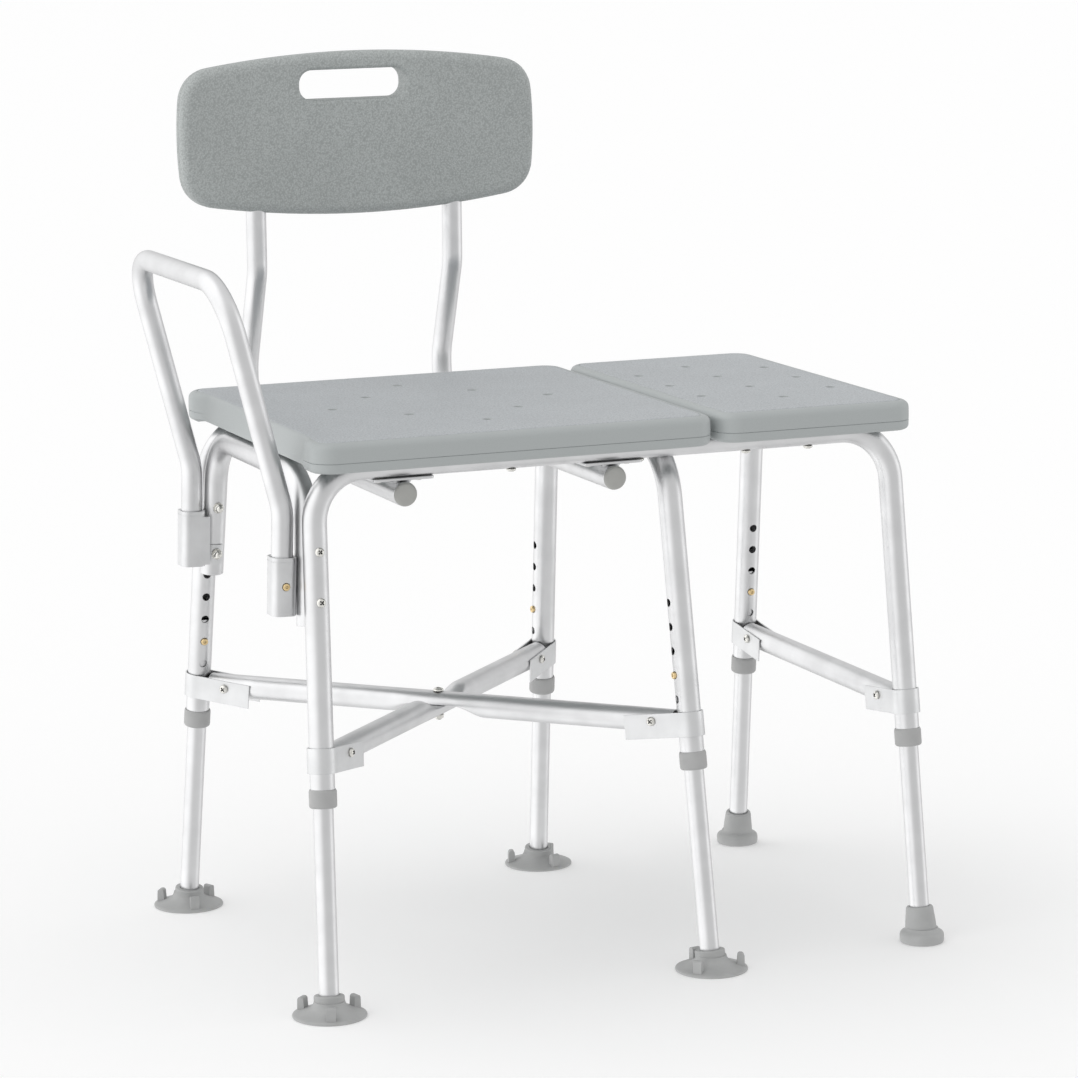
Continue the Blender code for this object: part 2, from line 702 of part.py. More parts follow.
# ---------------------------------------------------------------- back rest
def back_outline(inset):
    """Four bowed sides joined by round corners, clockwise from the middle of the top."""
    half_w, half_h = BACK_HALF_W - inset, BACK_HALF_H - inset
    corner = Vector((half_w - BACK_BOW_X, half_h - BACK_BOW_Z))
    radius = BACK_CORNER - inset

    def top(x):
        return Vector((x, half_h - BACK_BOW_Z * (x / corner.x) ** 2))

    def side(z):
        return Vector((half_w - BACK_BOW_X * (z / corner.y) ** 2, z))

    quarter = [top((corner.x - radius) * k / 3) for k in range(3)]
    start, end = top(corner.x - radius), side(corner.y - radius)
    for k in range(5):
        t = k / 4
        pulled = start.lerp(corner, 0.62), end.lerp(corner, 0.62)
        quarter.append(start * (1 - t) ** 3 + pulled[0] * 3 * t * (1 - t) ** 2
                       + pulled[1] * 3 * t * t * (1 - t) + end * t ** 3)
    quarter.append(side(end.y / 2))
    quarter.append(side(0))
    right = [tuple(p) for p in quarter] + [(p.x, -p.y) for p in reversed(quarter[:-1])]
    return right + [(-x, z) for x, z in reversed(right[1:-1])]


def slot_outline(grow=0.0):
    """The hand slot: a rectangle with round corners."""
    radius = 0.013 + grow
    a, b = SLOT_HALF_W + grow - radius, SLOT_HALF_H + grow - radius
    outline = []
    for cx, cz, start in ((a, b, 0), (-a, b, 90), (-a, -b, 180), (a, -b, 270)):
        for k in range(4):
            angle = math.radians(start + 30 * k)
            outline.append((cx + radius * math.cos(angle), cz + radius * math.sin(angle)))
    return outline


def back_rest(mats, bench):
    """The panel, with its hand slot and the blind holes that take the posts."""
    bm = bmesh.new()
    loops = []
    front, rear = BACK_Y
    for y, inset in ((front, 0.008), (front + 0.0025, 0.0025), (front + 0.008, 0.0),
                     (rear - 0.008, 0.0), (rear - 0.0025, 0.0025), (rear, 0.008)):
        loops.append(add_loop(bm, [(x, y, z) for x, z in back_outline(inset)]))
    for a, b in zip(loops, loops[1:]):
        bridge(bm, a, b)
    bm.faces.new(loops[0])
    bm.faces.new(loops[-1])
    panel = place("back_panel", finish_mesh(bm, "back_panel"), mats["seat"], bench, (BACK_X, 0, BACK_Z))
    slot = prism_mesh("hand_slot", slot_outline(), front - 0.01, rear + 0.01, axis="Y")
    combine(panel, slot, bench, "DIFFERENCE").location = (SLOT_X, 0, SLOT_Z)
    bores = [(Vector((x, POST_UPPER_Y, BACK_Z - BACK_HALF_H - 0.02)),
              Vector((x, POST_UPPER_Y, POST_TOP_Z + GAP)), SLIM_R + 0.0006) for x in POST_X]
    combine(panel, rods_mesh("post_bores", bores), bench, "DIFFERENCE")


def back_supports(mats, bench):
    """Two posts that bend under the seat, and the receivers that they slide into."""
    for side, x in zip(("left", "right"), POST_X):
        corners = [(x, POST_INNER_Y, RECEIVER_Z), (x, POST_LOWER_Y, RECEIVER_Z), (x, POST_LOWER_Y, POST_KNEE_Z[0]),
                   (x, POST_UPPER_Y, POST_KNEE_Z[1]), (x, POST_UPPER_Y, POST_TOP_Z)]
        path = rounded_path(corners, (0.058, 0.050, 0.050), steps=4)
        name = "back_post_" + side
        place(name, tube_mesh(name, path, SLIM_R, SLIM_WALL), mats["aluminium"], bench)
        name = "back_receiver_" + side
        path = [Vector((x, y, RECEIVER_Z)) for y in RECEIVER_Y]
        receiver = place(name, tube_mesh(name, path, FRAME_R, RECEIVER_WALL), mats["aluminium"], bench)
        top = RAIL_Z - FRAME_R - GAP
        for row, y0 in (("front", RECEIVER_Y[0] + 0.002), ("rear", RECEIVER_Y[1] - 0.002 - PLATE_DEEP)):
            half = PLATE_LONG / 2
            plate = prism_mesh("plate_%s_%s" % (row, side), box_outline(x - half, x + half, y0, y0 + PLATE_DEEP),
                               top - PLATE_THICK, top)
            combine(receiver, plate, bench, "UNION")
            weld = prism_mesh("weld_%s_%s" % (row, side),
                              box_outline(x - 0.006, x + 0.006, y0 + 0.004, y0 + PLATE_DEEP - 0.004),
                              RECEIVER_Z + FRAME_R - 0.0009, top - 0.001)
            combine(receiver, weld, bench, "UNION")
        cap = [(0.0100, -0.0030), (0.0124, -0.0016), (0.0124, 0.0), (0.0106, 0.0), (0.0106, 0.010)]
        plug = place("receiver_cap_" + side, turned_mesh("receiver_cap_" + side, cap), mats["collar"], bench)
        plug.location = (x, RECEIVER_Y[0] - GAP, RECEIVER_Z)
        plug.rotation_euler = (-math.pi / 2, 0, 0)


# ---------------------------------------------------------------- arm rail
def arm_axis_point(sign, z):
    return Vector((ARM_X + ARM_LEAN * (z - ARM_MID_Z), sign * ARM_Y, z))


def arm_rail(mats, bench):
    """A loop of slim tube that plugs into two sockets."""
    corners = [arm_axis_point(-1, ARM_END_Z), arm_axis_point(-1, ARM_KNEE_Z),
               ARM_TOP - Vector((0, ARM_Y, 0)), ARM_TOP + Vector((0, ARM_Y, 0)),
               arm_axis_point(1, ARM_KNEE_Z), arm_axis_point(1, ARM_END_Z)]
    path = [corners[0]]
    for i, steps in ((1, 3), (2, 5), (3, 5), (4, 3)):
        radius = ARM_CORNER if i in (2, 3) else 0.070
        path += rounded_path(corners[i - 1:i + 2], (radius,), steps)[1:-1]
    path.append(corners[-1])
    rail = place("arm_rail", tube_mesh("arm_rail", path, SLIM_R, SLIM_WALL), mats["aluminium"], bench)
    for row, sign in (("front", -1), ("rear", 1)):
        lean = Vector((ARM_LEAN, 0, 1)).normalized()
        outward = Vector((0, sign, 0))
        frame = frame_empty("arm_axis_" + row, bench, axes_matrix(
            outward, lean.cross(outward), lean, arm_axis_point(sign, ARM_BUTTON_Z)))
        drill = [(Vector((0.004, 0, 0)), Vector((0.016, 0, 0)), 0.0042)]
        combine(rail, rods_mesh("arm_hole_" + row, drill, 8), frame, "DIFFERENCE")
        add_snap_button("arm_button_" + row, frame, 0.0, SLIM_R - SLIM_WALL, SOCKET_HALF_Y + 0.0022,
                        mats["brass"])


def socket_outline():
    """The socket's section: a rectangle with large round corners."""
    radius = 0.0085
    a, b = SOCKET_HALF_X - radius, SOCKET_HALF_Y - radius
    outline = []
    for cx, cy, start in ((a, -b, -90), (a, b, 0), (-a, b, 90), (-a, -b, 180)):
        for k in range(4):
            angle = math.radians(start + 30 * k)
            outline.append((cx + radius * math.cos(angle), cy + radius * math.sin(angle)))
    return outline


def arm_sockets(legs, mats, bench):
    """Extruded sockets seated on the side frame's uprights, each with a flange round its upright."""
    for row, sign in (("front", -1), ("rear", 1)):
        leg = legs[row + "_left"]
        base = arm_axis_point(sign, SOCKET_Z[0])
        lean = Vector((ARM_LEAN, 0, 1)).normalized()
        side = Vector((0, 1, 0)).cross(lean)
        frame = frame_empty("socket_axis_" + row, bench, axes_matrix(side, Vector((0, 1, 0)), lean, base))
        height = SOCKET_Z[1] - SOCKET_Z[0]
        name = "arm_socket_" + row
        socket = place(name, prism_mesh(name, socket_outline(), 0, height), mats["aluminium"], frame)
        web_y = sign * -0.004
        outline = box_outline(0.006, 0.0165, web_y - 0.010, web_y + 0.010)
        web = prism_mesh("web_" + row, outline, 0.002, height - 0.006)
        combine(socket, web, frame, "UNION")
        upright = frame_empty("upright_axis_" + row, bench, axes_matrix(
            leg.out, leg.up.cross(leg.out), leg.up, side_point(leg, SIDE_BOLTS_S[0])))
        combine(socket, flange_mesh("flange_" + row, sign), upright, "UNION")
        clear = [(Vector((0, 0, -0.06)), Vector((0, 0, 0.08)), FRAME_R + 0.0005)]
        combine(socket, rods_mesh("upright_clear_" + row, clear), upright, "DIFFERENCE")
        bore = [(Vector((0, 0, -0.01)), Vector((0, 0, height + 0.01)), SLIM_R + 0.0007)]
        combine(socket, rods_mesh("socket_bore_" + row, bore), frame, "DIFFERENCE")
        window = [(Vector((0, 0, ARM_BUTTON_Z - SOCKET_Z[0])),
                   Vector((0, sign * 0.03, ARM_BUTTON_Z - SOCKET_Z[0])), HOLE_R)]
        combine(socket, rods_mesh("socket_window_" + row, window, 8), frame, "DIFFERENCE")
        hole = [(Vector((0.004, 0, 0)), Vector((0.03, 0, 0)), BOLT_HOLE_R)]
        combine(socket, rods_mesh("flange_hole_" + row, hole, 8), upright, "DIFFERENCE")


def flange_mesh(name, sign):
    """A strip curled round the upright from the socket's side to the inner side."""
    inner, outer = FRAME_R + 0.0002, FRAME_R + 0.0002 + SHEET
    outline = []
    steps = 6
    sweep = math.radians(125)
    start = math.radians(-95) * sign
    for radius, order in ((inner, range(steps + 1)), (outer, range(steps, -1, -1))):
        for k in order:
            angle = start + sign * sweep * k / steps
            outline.append((radius * math.cos(angle), radius * math.sin(angle)))
    return prism_mesh(name, outline, -0.012, 0.010)


# ---------------------------------------------------------------- build
def build():
    clear_scene()
    mats = {
        "aluminium": material("aluminium", (0.80, 0.81, 0.83), 0.34, 1.0),
        "seat": material("seat_plastic", (0.40, 0.44, 0.45), 0.55, 0.0),
        "collar": material("collar_plastic", (0.34, 0.34, 0.33), 0.5, 0.0),
        "rubber": material("foot_rubber", (0.31, 0.31, 0.30), 0.7, 0.0),
        "brass": material("brass", (0.83, 0.66, 0.36), 0.3, 1.0),
        "steel": material("zinc_steel", (0.72, 0.72, 0.70), 0.3, 1.0),
    }
    bench = frame_empty("bench", None, Matrix.Translation(BENCH_SHIFT))
    legs = make_legs(bench)
    long_frames(legs, mats["aluminium"], bench)
    middle_frame(legs, mats["aluminium"], bench)
    side_frame(legs, mats["aluminium"], bench)
    for leg in legs.values():
        leg_hardware(leg, mats)
    tabs = {"front_left": -107, "rear_left": -95, "front_middle": -140, "rear_middle": -75}
    for name, turn in tabs.items():
        suction_foot(legs[name], mats["rubber"], bench, math.radians(turn))
    for name in ("front_right", "rear_right"):
        rubber_tip(legs[name], mats["rubber"], bench)
    side_bolts(legs, mats["steel"])
    braces(legs, mats, bench)
    seats(mats["seat"], bench)
    back_rest(mats, bench)
    back_supports(mats, bench)
    arm_rail(mats, bench)
    arm_sockets(legs, mats, bench)


build()
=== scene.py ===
"""Looks of the bath transfer bench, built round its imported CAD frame."""
import math

import bmesh
import bpy
from mathutils import Matrix, Vector


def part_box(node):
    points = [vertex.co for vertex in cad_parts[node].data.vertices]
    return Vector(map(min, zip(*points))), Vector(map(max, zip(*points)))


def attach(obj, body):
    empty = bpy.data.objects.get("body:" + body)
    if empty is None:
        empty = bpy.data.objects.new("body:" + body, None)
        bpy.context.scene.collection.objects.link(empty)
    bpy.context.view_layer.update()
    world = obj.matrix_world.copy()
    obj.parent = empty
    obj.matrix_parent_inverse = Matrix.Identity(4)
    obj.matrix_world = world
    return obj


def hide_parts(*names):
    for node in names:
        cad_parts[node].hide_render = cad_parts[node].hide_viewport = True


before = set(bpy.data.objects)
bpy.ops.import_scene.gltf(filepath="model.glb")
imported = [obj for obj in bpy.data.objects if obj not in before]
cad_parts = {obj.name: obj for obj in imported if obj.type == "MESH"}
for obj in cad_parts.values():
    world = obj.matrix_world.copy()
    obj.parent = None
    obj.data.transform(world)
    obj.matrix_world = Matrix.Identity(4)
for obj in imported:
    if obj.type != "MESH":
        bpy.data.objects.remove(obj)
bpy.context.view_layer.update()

# ---------------------------------------------------------------- sizes, in metres, as in the CAD
GAP = 0.0003
SIDES = 40
BEND_STEPS = 14
FRAME_R = 0.0127
FRAME_WALL = 0.0016
INNER_R = 0.0103
INNER_WALL = 0.0014
SLIM_R = 0.0111
SLIM_WALL = 0.0013
RAIL_Z = 0.548
RAIL_Y = 0.1666
RAIL_BEND = 0.055
END_FOOT_Y = 0.235
LEFT_X = (0.0, -0.0175)
RIGHT_X = (0.6452, 0.6545)
MIDDLE_X = (0.3905, 0.4048)
MIDDLE_Y = (0.1609, 0.240)
MIDDLE_CROWN_Z = 0.5435
MIDDLE_BEND = 0.060
BUTTON_S = 0.3118
HOLE_PITCH = 0.0254
HOLES_ABOVE = 3
HOLES_BELOW = 1
HOLE_R = 0.0043
OUTER_END_S = 0.2146
COLLAR_S = 0.2118
COLLAR_H = 0.019
BRACKET_S = 0.2600
INNER_TOP_S = 0.3358
INNER_END_S = 0.0072
SIDE_OFFSET = 0.026
SIDE_CROWN_Z = 0.5387
SIDE_BEND = 0.056
SIDE_END_S = 0.395
SIDE_BOLTS_S = (0.4200, 0.4710)
SEAT_BOTTOM_Z = 0.551
SEAT_TOP_Z = 0.5824
SEAT_CEILING_Z = 0.5611
SEAT_RIM = 0.014
SEAT_CORNER = 0.024
MAIN_X = (-0.014, 0.424)
MAIN_Y = 0.219
EXT_X = (0.432, 0.656)
EXT_Y = 0.214
RECESS_HALF = 0.176
RECESS_LIFT_Z = 0.5543
RECESS_X = ((0.551, -0.0090), (0.557, -0.0096), (0.575, -0.0052), (0.5802, -0.0036), (0.5824, -0.0018))
BACK_X = 0.2156
BACK_HALF_W = 0.2069
BACK_Z = 0.8463
BACK_HALF_H = 0.0896
BACK_BOW_X = 0.0055
BACK_BOW_Z = 0.0185
BACK_CORNER = 0.031
BACK_Y = (0.268, 0.298)
SLOT_X = 0.2073
SLOT_Z = 0.9003
SLOT_HALF_W = 0.0622
SLOT_HALF_H = 0.0164
SLOT_R = 0.0145
POST_X = (0.0957, 0.3266)
POST_TOP_Z = 0.868
POST_UPPER_Y = 0.283
POST_LOWER_Y = 0.322
POST_KNEE_Z = (0.590, 0.697)
POST_INNER_Y = 0.030
RECEIVER_Z = 0.5183
RECEIVER_Y = (-0.175, 0.184)
RECEIVER_WALL = 0.0012
PLATE_LONG = 0.066
PLATE_DEEP = 0.040
PLATE_THICK = 0.003
ARM_Y = 0.150
ARM_X = -0.030
ARM_LEAN = 0.032
ARM_MID_Z = 0.430
ARM_END_Z = 0.4025
ARM_KNEE_Z = 0.507
ARM_TOP = Vector((-0.0853, 0.0, 0.738))
ARM_CORNER = 0.055
SOCKET_Z = (0.4005, 0.4603)
SOCKET_HALF_X = 0.0131
SOCKET_HALF_Y = 0.0144
ARM_BUTTON_Z = 0.431
BRACE_Z = 0.258
BRACE_WALL = 0.0013
BRACE_START = 0.0165
BRACKET_LONG = 0.068
BRACKET_H = 0.026
SHEET = 0.0015
BOLT_AT = 0.038
BOLT_R = 0.003
BOLT_HOLE_R = 0.0034

seat_low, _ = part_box("main_seat")
ROOT = Matrix.Translation((seat_low.x - MAIN_X[0], seat_low.y + MAIN_Y, 0.0))
X, Y, Z = Vector((1, 0, 0)), Vector((0, 1, 0)), Vector((0, 0, 1))


# ---------------------------------------------------------------- materials
class Tree:
    """Short calls for building a node tree."""

    def __init__(self, owner):
        owner.use_nodes = True
        self.tree = owner.node_tree

    def node(self, kind, **values):
        made = self.tree.nodes.new(kind)
        for key, value in values.items():
            if hasattr(made, key):
                setattr(made, key, value)
            else:
                made.inputs[key.replace("_", " ")].default_value = value
        return made

    def link(self, a, b):
        self.tree.links.new(a, b)

    def ramp(self, factor, low, high, start=0.3, end=0.7, curve="LINEAR"):
        """A factor mapped to a number between low and high."""
        made = self.node("ShaderNodeMapRange", interpolation_type=curve, From_Min=start, From_Max=end,
                         To_Min=low, To_Max=high)
        self.link(factor, made.inputs["Value"])
        return made.outputs["Result"]

    def math(self, operation, *values, kind="ShaderNodeMath"):
        """The result of an operation on sockets and constants."""
        made = self.node(kind, operation=operation)
        for socket, value in zip(made.inputs, values):
            if isinstance(value, (float, tuple)):
                socket.default_value = value
            else:
                self.link(value, socket)
        return made.outputs["Value" if operation == "DOT_PRODUCT" else 0]


class Nodes(Tree):
    """The node tree of one material."""

    def __init__(self, name, color, roughness, metallic):
        self.mat = bpy.data.materials.new(name)
        super().__init__(self.mat)
        self.shader = self.tree.nodes["Principled BSDF"]
        self.set("Base Color", (*color, 1.0))
        self.set("Roughness", roughness)
        self.set("Metallic", metallic)
        self.mat.diffuse_color = (*color, 1.0)

    def set(self, socket, value):
        self.shader.inputs[socket].default_value = value

    def coords(self, scale, uv=None):
        """Object coordinates, or a UV map's, stretched by scale."""
        source = self.node("ShaderNodeUVMap", uv_map=uv) if uv else self.node("ShaderNodeTexCoord")
        mapping = self.node("ShaderNodeMapping")
        mapping.inputs["Scale"].default_value = scale
        self.link(source.outputs["UV" if uv else "Object"], mapping.inputs["Vector"])
        return mapping.outputs["Vector"]

    def noise(self, scale, detail, coords, roughness=0.5):
        made = self.node("ShaderNodeTexNoise", Scale=scale, Detail=detail, Roughness=roughness)
        self.link(coords, made.inputs["Vector"])
        return made.outputs["Fac"]

    def tint(self, factor, first, second):
        """A colour between two, by a factor."""
        made = self.node("ShaderNodeMix", data_type="RGBA")
        made.inputs[6].default_value = (*first, 1)
        made.inputs[7].default_value = (*second, 1)
        self.link(factor, made.inputs[0])
        self.link(made.outputs[2], self.shader.inputs["Base Color"])

    def bump(self, height, strength, distance, under=None):
        made = self.node("ShaderNodeBump", Strength=strength, Distance=distance)
        self.link(height, made.inputs["Height"])
        if under:
            self.link(under, made.inputs["Normal"])
        self.link(made.outputs["Normal"], self.shader.inputs["Normal"])
        return made.outputs["Normal"]


def aluminium(name, uv, base=(0.71, 0.712, 0.718), rough=(0.33, 0.43)):
    """Satin anodised aluminium: fine drawing lines, cloudy sheen and a few faint scuffs."""
    m = Nodes(name, base, 0.38, 1.0)
    lines = m.noise(1.0, 3, m.coords((1500, 9, 1) if uv else (900, 900, 40), uv))
    cloud = m.noise(38, 4, m.coords((1, 1, 1)))
    scuff = m.noise(420, 6, m.coords((1, 1, 0.25)), 0.7)
    mixed = m.math("MULTIPLY_ADD", lines, 0.35, cloud)
    m.link(m.ramp(mixed, *rough, 0.45, 0.95), m.shader.inputs["Roughness"])
    m.tint(m.ramp(cloud, 0, 1, 0.35, 0.65), base, tuple(c * 0.955 for c in base))
    first = m.bump(lines, 0.05, 0.0002)
    m.bump(scuff, 0.035, 0.0003, first)
    return m.mat


def plastic(name, base, grain, depth, rough=(0.46, 0.60), dark=0.82, light=1.07):
    """Moulded plastic: leather-like pebbles of one size, over a faint unevenness; its colour has painted
    shade in the valleys between the pebbles.
    """
    m = Nodes(name, base, 0.5, 0.0)
    m.set("Specular IOR Level", 0.42)
    coords = m.coords((1, 1, 1))
    warp = m.noise(1 / (grain * 2.2), 2, coords)
    cells = m.node("ShaderNodeTexVoronoi", feature="SMOOTH_F1", Scale=1 / grain, Smoothness=0.45,
                   Randomness=1.0)
    push = m.node("ShaderNodeCombineXYZ")
    for axis in range(3):
        m.link(m.ramp(warp, -grain * 0.4, grain * 0.4), push.inputs[axis])
    shifted = m.math("ADD", coords, push.outputs[0], kind="ShaderNodeVectorMath")
    m.link(shifted, cells.inputs["Vector"])
    pebble = m.ramp(cells.outputs["Distance"], 1.0, 0.0, 0.05, 0.75)
    m.link(m.ramp(pebble, rough[1], rough[0], 0.1, 0.9), m.shader.inputs["Roughness"])
    mottle = m.noise(14, 4, coords)
    # Painted shade: the colour is darker in the valleys between pebbles and lighter on their tops, mixed
    # with a random mottle in tone; dark and light set the two ends.
    pebble_valley_shade_and_mottle = m.math("MULTIPLY_ADD", pebble, 2.2, mottle)
    m.tint(m.ramp(pebble_valley_shade_and_mottle, 0, 1, 0.6, 2.6), tuple(c * dark for c in base),
           tuple(c * light for c in base))
    first = m.bump(mottle, 0.10, 0.0008)
    m.bump(pebble, depth, grain * 0.14, first)
    return m.mat


def fine_plastic(name, base, rough, depth=0.12, scale=900):
    """Plain moulded plastic or rubber: fine matt grain and slight colour change."""
    m = Nodes(name, base, rough, 0.0)
    m.set("Specular IOR Level", 0.35)
    coords = m.coords((1, 1, 1))
    grain = m.noise(scale, 5, coords, 0.65)
    cloud = m.noise(45, 3, coords)
    m.link(m.ramp(grain, rough - 0.06, rough + 0.08), m.shader.inputs["Roughness"])
    m.tint(m.ramp(cloud, 0, 1), tuple(c * 0.93 for c in base), tuple(min(1, c * 1.04) for c in base))
    m.bump(grain, depth, 0.0003)
    return m.mat


def plated(name, base, rough):
    """Small plated hardware: bright, with fine tool marks and painted shade darkening its recesses."""
    m = Nodes(name, base, rough, 1.0)
    coords = m.coords((1, 1, 1))
    marks = m.noise(1400, 5, coords, 0.7)
    cloud = m.noise(260, 3, coords)
    m.link(m.ramp(cloud, rough - 0.06, rough + 0.14), m.shader.inputs["Roughness"])
    # Painted shade: an ambient-occlusion term darkens the colour down in recesses such as the screw heads'
    # cross, times a slight random tone.
    painted_recess_shade = m.node("ShaderNodeAmbientOcclusion", samples=8, only_local=True, Distance=0.0024)
    painted_shade_and_tone = m.math("MULTIPLY", m.ramp(painted_recess_shade.outputs["AO"], 0, 1, 0.50, 0.90), m.ramp(cloud, 0.84, 1))
    m.tint(painted_shade_and_tone, tuple(c * 0.06 for c in base), base)
    m.bump(marks, 0.12, 0.0001)
    return m.mat


FINISHES = {
    # each finish's material, and the record's slot that it belongs to
    "tube": (aluminium("anodised_tube", "run"), "aluminium"),
    "plate": (aluminium("anodised_plate", None, (0.72, 0.725, 0.73), (0.38, 0.50)), "aluminium"),
    # seat_top and seat_side are one plastic: the top copy is painted lighter and bluer than the sides, as
    # painted light from above; its coarser grain is real.
    "seat_top": (plastic("seat_grained_painted_light", (0.486, 0.510, 0.528), 0.0019, 0.40, dark=0.84, light=1.08),
                 "seat_plastic"),
    "seat_side": (plastic("seat_smooth_painted_shade", (0.432, 0.458, 0.458), 0.0009, 0.10, (0.40, 0.48), 0.96, 1.01),
                  "seat_plastic"),
    "back": (plastic("back_grained", (0.436, 0.462, 0.456), 0.0018, 0.80, dark=0.78, light=1.14),
             "seat_plastic"),
    "collar": (fine_plastic("collar_plastic", (0.432, 0.434, 0.432), 0.50), "collar_plastic"),
    "cap": (fine_plastic("cap_plastic", (0.450, 0.450, 0.430), 0.42, 0.08), "collar_plastic"),
    "rubber": (fine_plastic("foot_rubber", (0.425, 0.430, 0.428), 0.58, 0.2, 700), "foot_rubber"),
    "brass": (plated("button_brass", (0.86, 0.66, 0.36), 0.26), "brass"),
    "steel": (plated("zinc_plate", (0.78, 0.77, 0.73), 0.24), "zinc_steel"),
}


# ---------------------------------------------------------------- mesh tools
def ring(center, across, up, radius, sides=SIDES, phase=0.0):
    turn = 2 * math.pi / sides
    angles = [(i + phase) * turn for i in range(sides)]
    return [center + radius * (math.cos(a) * across + math.sin(a) * up) for a in angles]


def add(bm, points):
    return [bm.verts.new(p) for p in points]


def bridge(bm, first, second):
    faces = []
    count = len(first)
    for i in range(count):
        j = (i + 1) % count
        faces.append(bm.faces.new((first[i], first[j], second[j], second[i])))
    return faces


def done(bm, name):
    bmesh.ops.recalc_face_normals(bm, faces=bm.faces)
    mesh = bpy.data.meshes.new(name)
    bm.to_mesh(mesh)
    bm.free()
    return mesh


def rounded_path(corners, radii, steps=BEND_STEPS):
    path = [Vector(corners[0])]
    for i in range(1, len(corners) - 1):
        here = Vector(corners[i])
        back = (Vector(corners[i - 1]) - here).normalized()
        ahead = (Vector(corners[i + 1]) - here).normalized()
        half = back.angle(ahead) / 2
        radius = radii[i - 1]
        middle = here + (back + ahead).normalized() * (radius / math.sin(half))
        start = (here + back * (radius / math.tan(half)) - middle).normalized()
        end = (here + ahead * (radius / math.tan(half)) - middle).normalized()
        for k in range(steps + 1):
            path.append(middle + start.slerp(end, k / steps) * radius)
    path.append(Vector(corners[-1]))
    return path


def with_stops(path, stops):
    """Extra path points on the straight first and last stretches, at lengths from each end."""
    first, last = path[0], path[-1]
    ahead = (path[1] - first).normalized()
    behind = (path[-2] - last).normalized()
    head = [first + ahead * s for s in stops if s < (path[1] - first).length - 1e-4]
    tail = [last + behind * s for s in reversed(stops) if s < (path[-2] - last).length - 1e-4]
    return [first] + head + path[1:-1] + tail + [last]


def tube(name, path, radius, wall, sides=SIDES, across=X, shape=None, soft=0.0004):
    """An open-ended tube along a path, its ends slightly rounded, with a UV map along its run."""
    bm = bmesh.new()
    uv = bm.loops.layers.uv.new("run")
    tangents = [(b - a).normalized() for a, b in zip(path, path[1:])]
    along = [0.0]
    for a, b in zip(path, path[1:]):
        along.append(along[-1] + (b - a).length)
    sections = []
    for i, point in enumerate(path):
        before = tangents[max(i - 1, 0)]
        after = tangents[min(i, len(tangents) - 1)]
        tangent = (before + after).normalized()
        across = (across - tangent * across.dot(tangent)).normalized()
        sections.append((point, across.copy(), tangent.cross(across), along[i]))
    first, last = sections[0], sections[-1]
    start = (first[0] + tangents[0] * soft, first[1], first[2], soft)
    stop = (last[0] - tangents[-1] * soft, last[1], last[2], along[-1] - soft)
    outer = [(first, radius - soft)] + [(start, radius)] + [(s, radius) for s in sections[1:-1]]
    outer += [(stop, radius), (last, radius - soft)]
    inner = [(s, radius - wall) for s in sections]
    made = {}
    for kind, parts in (("outer", outer), ("inner", inner)):
        rings = []
        for (point, side, up, run), size in parts:
            points = ring(point, side, up, size, sides)
            rings.append((add(bm, shape(points, point, kind) if shape else points), run))
        made[kind] = rings
        for (a, run_a), (b, run_b) in zip(rings, rings[1:]):
            for i, face in enumerate(bridge(bm, a, b)):
                width = 2 * math.pi * radius / sides
                spots = ((i * width, run_a), ((i + 1) * width, run_a),
                         ((i + 1) * width, run_b), (i * width, run_b))
                for loop, spot in zip(face.loops, spots):
                    loop[uv].uv = spot
    bridge(bm, made["outer"][0][0], made["inner"][0][0])
    bridge(bm, made["outer"][-1][0], made["inner"][-1][0])
    return done(bm, name)


def loft(name, rows, closed=False):
    """A skin through rows of points, with its two ends capped, or joined together when closed."""
    bm = bmesh.new()
    loops = [add(bm, row) for row in rows]
    for a, b in zip(loops, loops[1:]):
        bridge(bm, a, b)
    if closed:
        bridge(bm, loops[-1], loops[0])
    else:
        bm.faces.new(loops[0])
        bm.faces.new(loops[-1])
    return done(bm, name)


def turned(name, profile, sides=SIDES, closed=False):
    """A profile of (radius, height) turned about Z."""
    return loft(name, [ring(Vector((0, 0, h)), X, Y, r, sides) for r, h in profile], closed)


def arc(cx, cy, radius, start, end, steps):
    """Points of an arc, angles in degrees."""
    out = []
    for k in range(steps + 1):
        angle = math.radians(start + (end - start) * k / steps)
        out.append((cx + radius * math.cos(angle), cy + radius * math.sin(angle)))
    return out


def rectangle(x0, x1, y0, y1):
    return [(x0, y0), (x1, y0), (x1, y1), (x0, y1)]


def round_rectangle(half_x, half_y, radius, steps, middle=(0.0, 0.0)):
    outline = []
    for i, (sx, sy) in enumerate(((1, -1), (1, 1), (-1, 1), (-1, -1))):
        outline += arc(middle[0] + sx * (half_x - radius), middle[1] + sy * (half_y - radius), radius,
                       90 * i - 90, 90 * i, steps)
    return outline


def prism(name, outline, low, high, axis="Z"):
    """An outline drawn out between two levels along Z, or along Y when the outline is in X and Z."""
    if axis == "Z":
        return loft(name, [[(a, b, level) for a, b in outline] for level in (low, high)])
    return loft(name, [[(a, level, b) for a, b in outline] for level in (low, high)])


def rods(name, specs, sides=24):
    """Separate rods (start, end, radius) or cones (start, end, radius, end radius)."""
    bm = bmesh.new()
    for start, end, radius, *rest in specs:
        axis = (end - start).normalized()
        side = axis.orthogonal().normalized()
        up = axis.cross(side)
        first = add(bm, ring(start, side, up, radius, sides, 0.5))
        second = add(bm, ring(end, side, up, rest[0] if rest else radius, sides, 0.5))
        bridge(bm, first, second)
        bm.faces.new(first)
        bm.faces.new(second)
    return done(bm, name)


def axes(x_axis, y_axis, z_axis, origin):
    return Matrix.Translation(origin) @ Matrix((x_axis, y_axis, z_axis)).transposed().to_4x4()


# ---------------------------------------------------------------- pieces
MADE = []


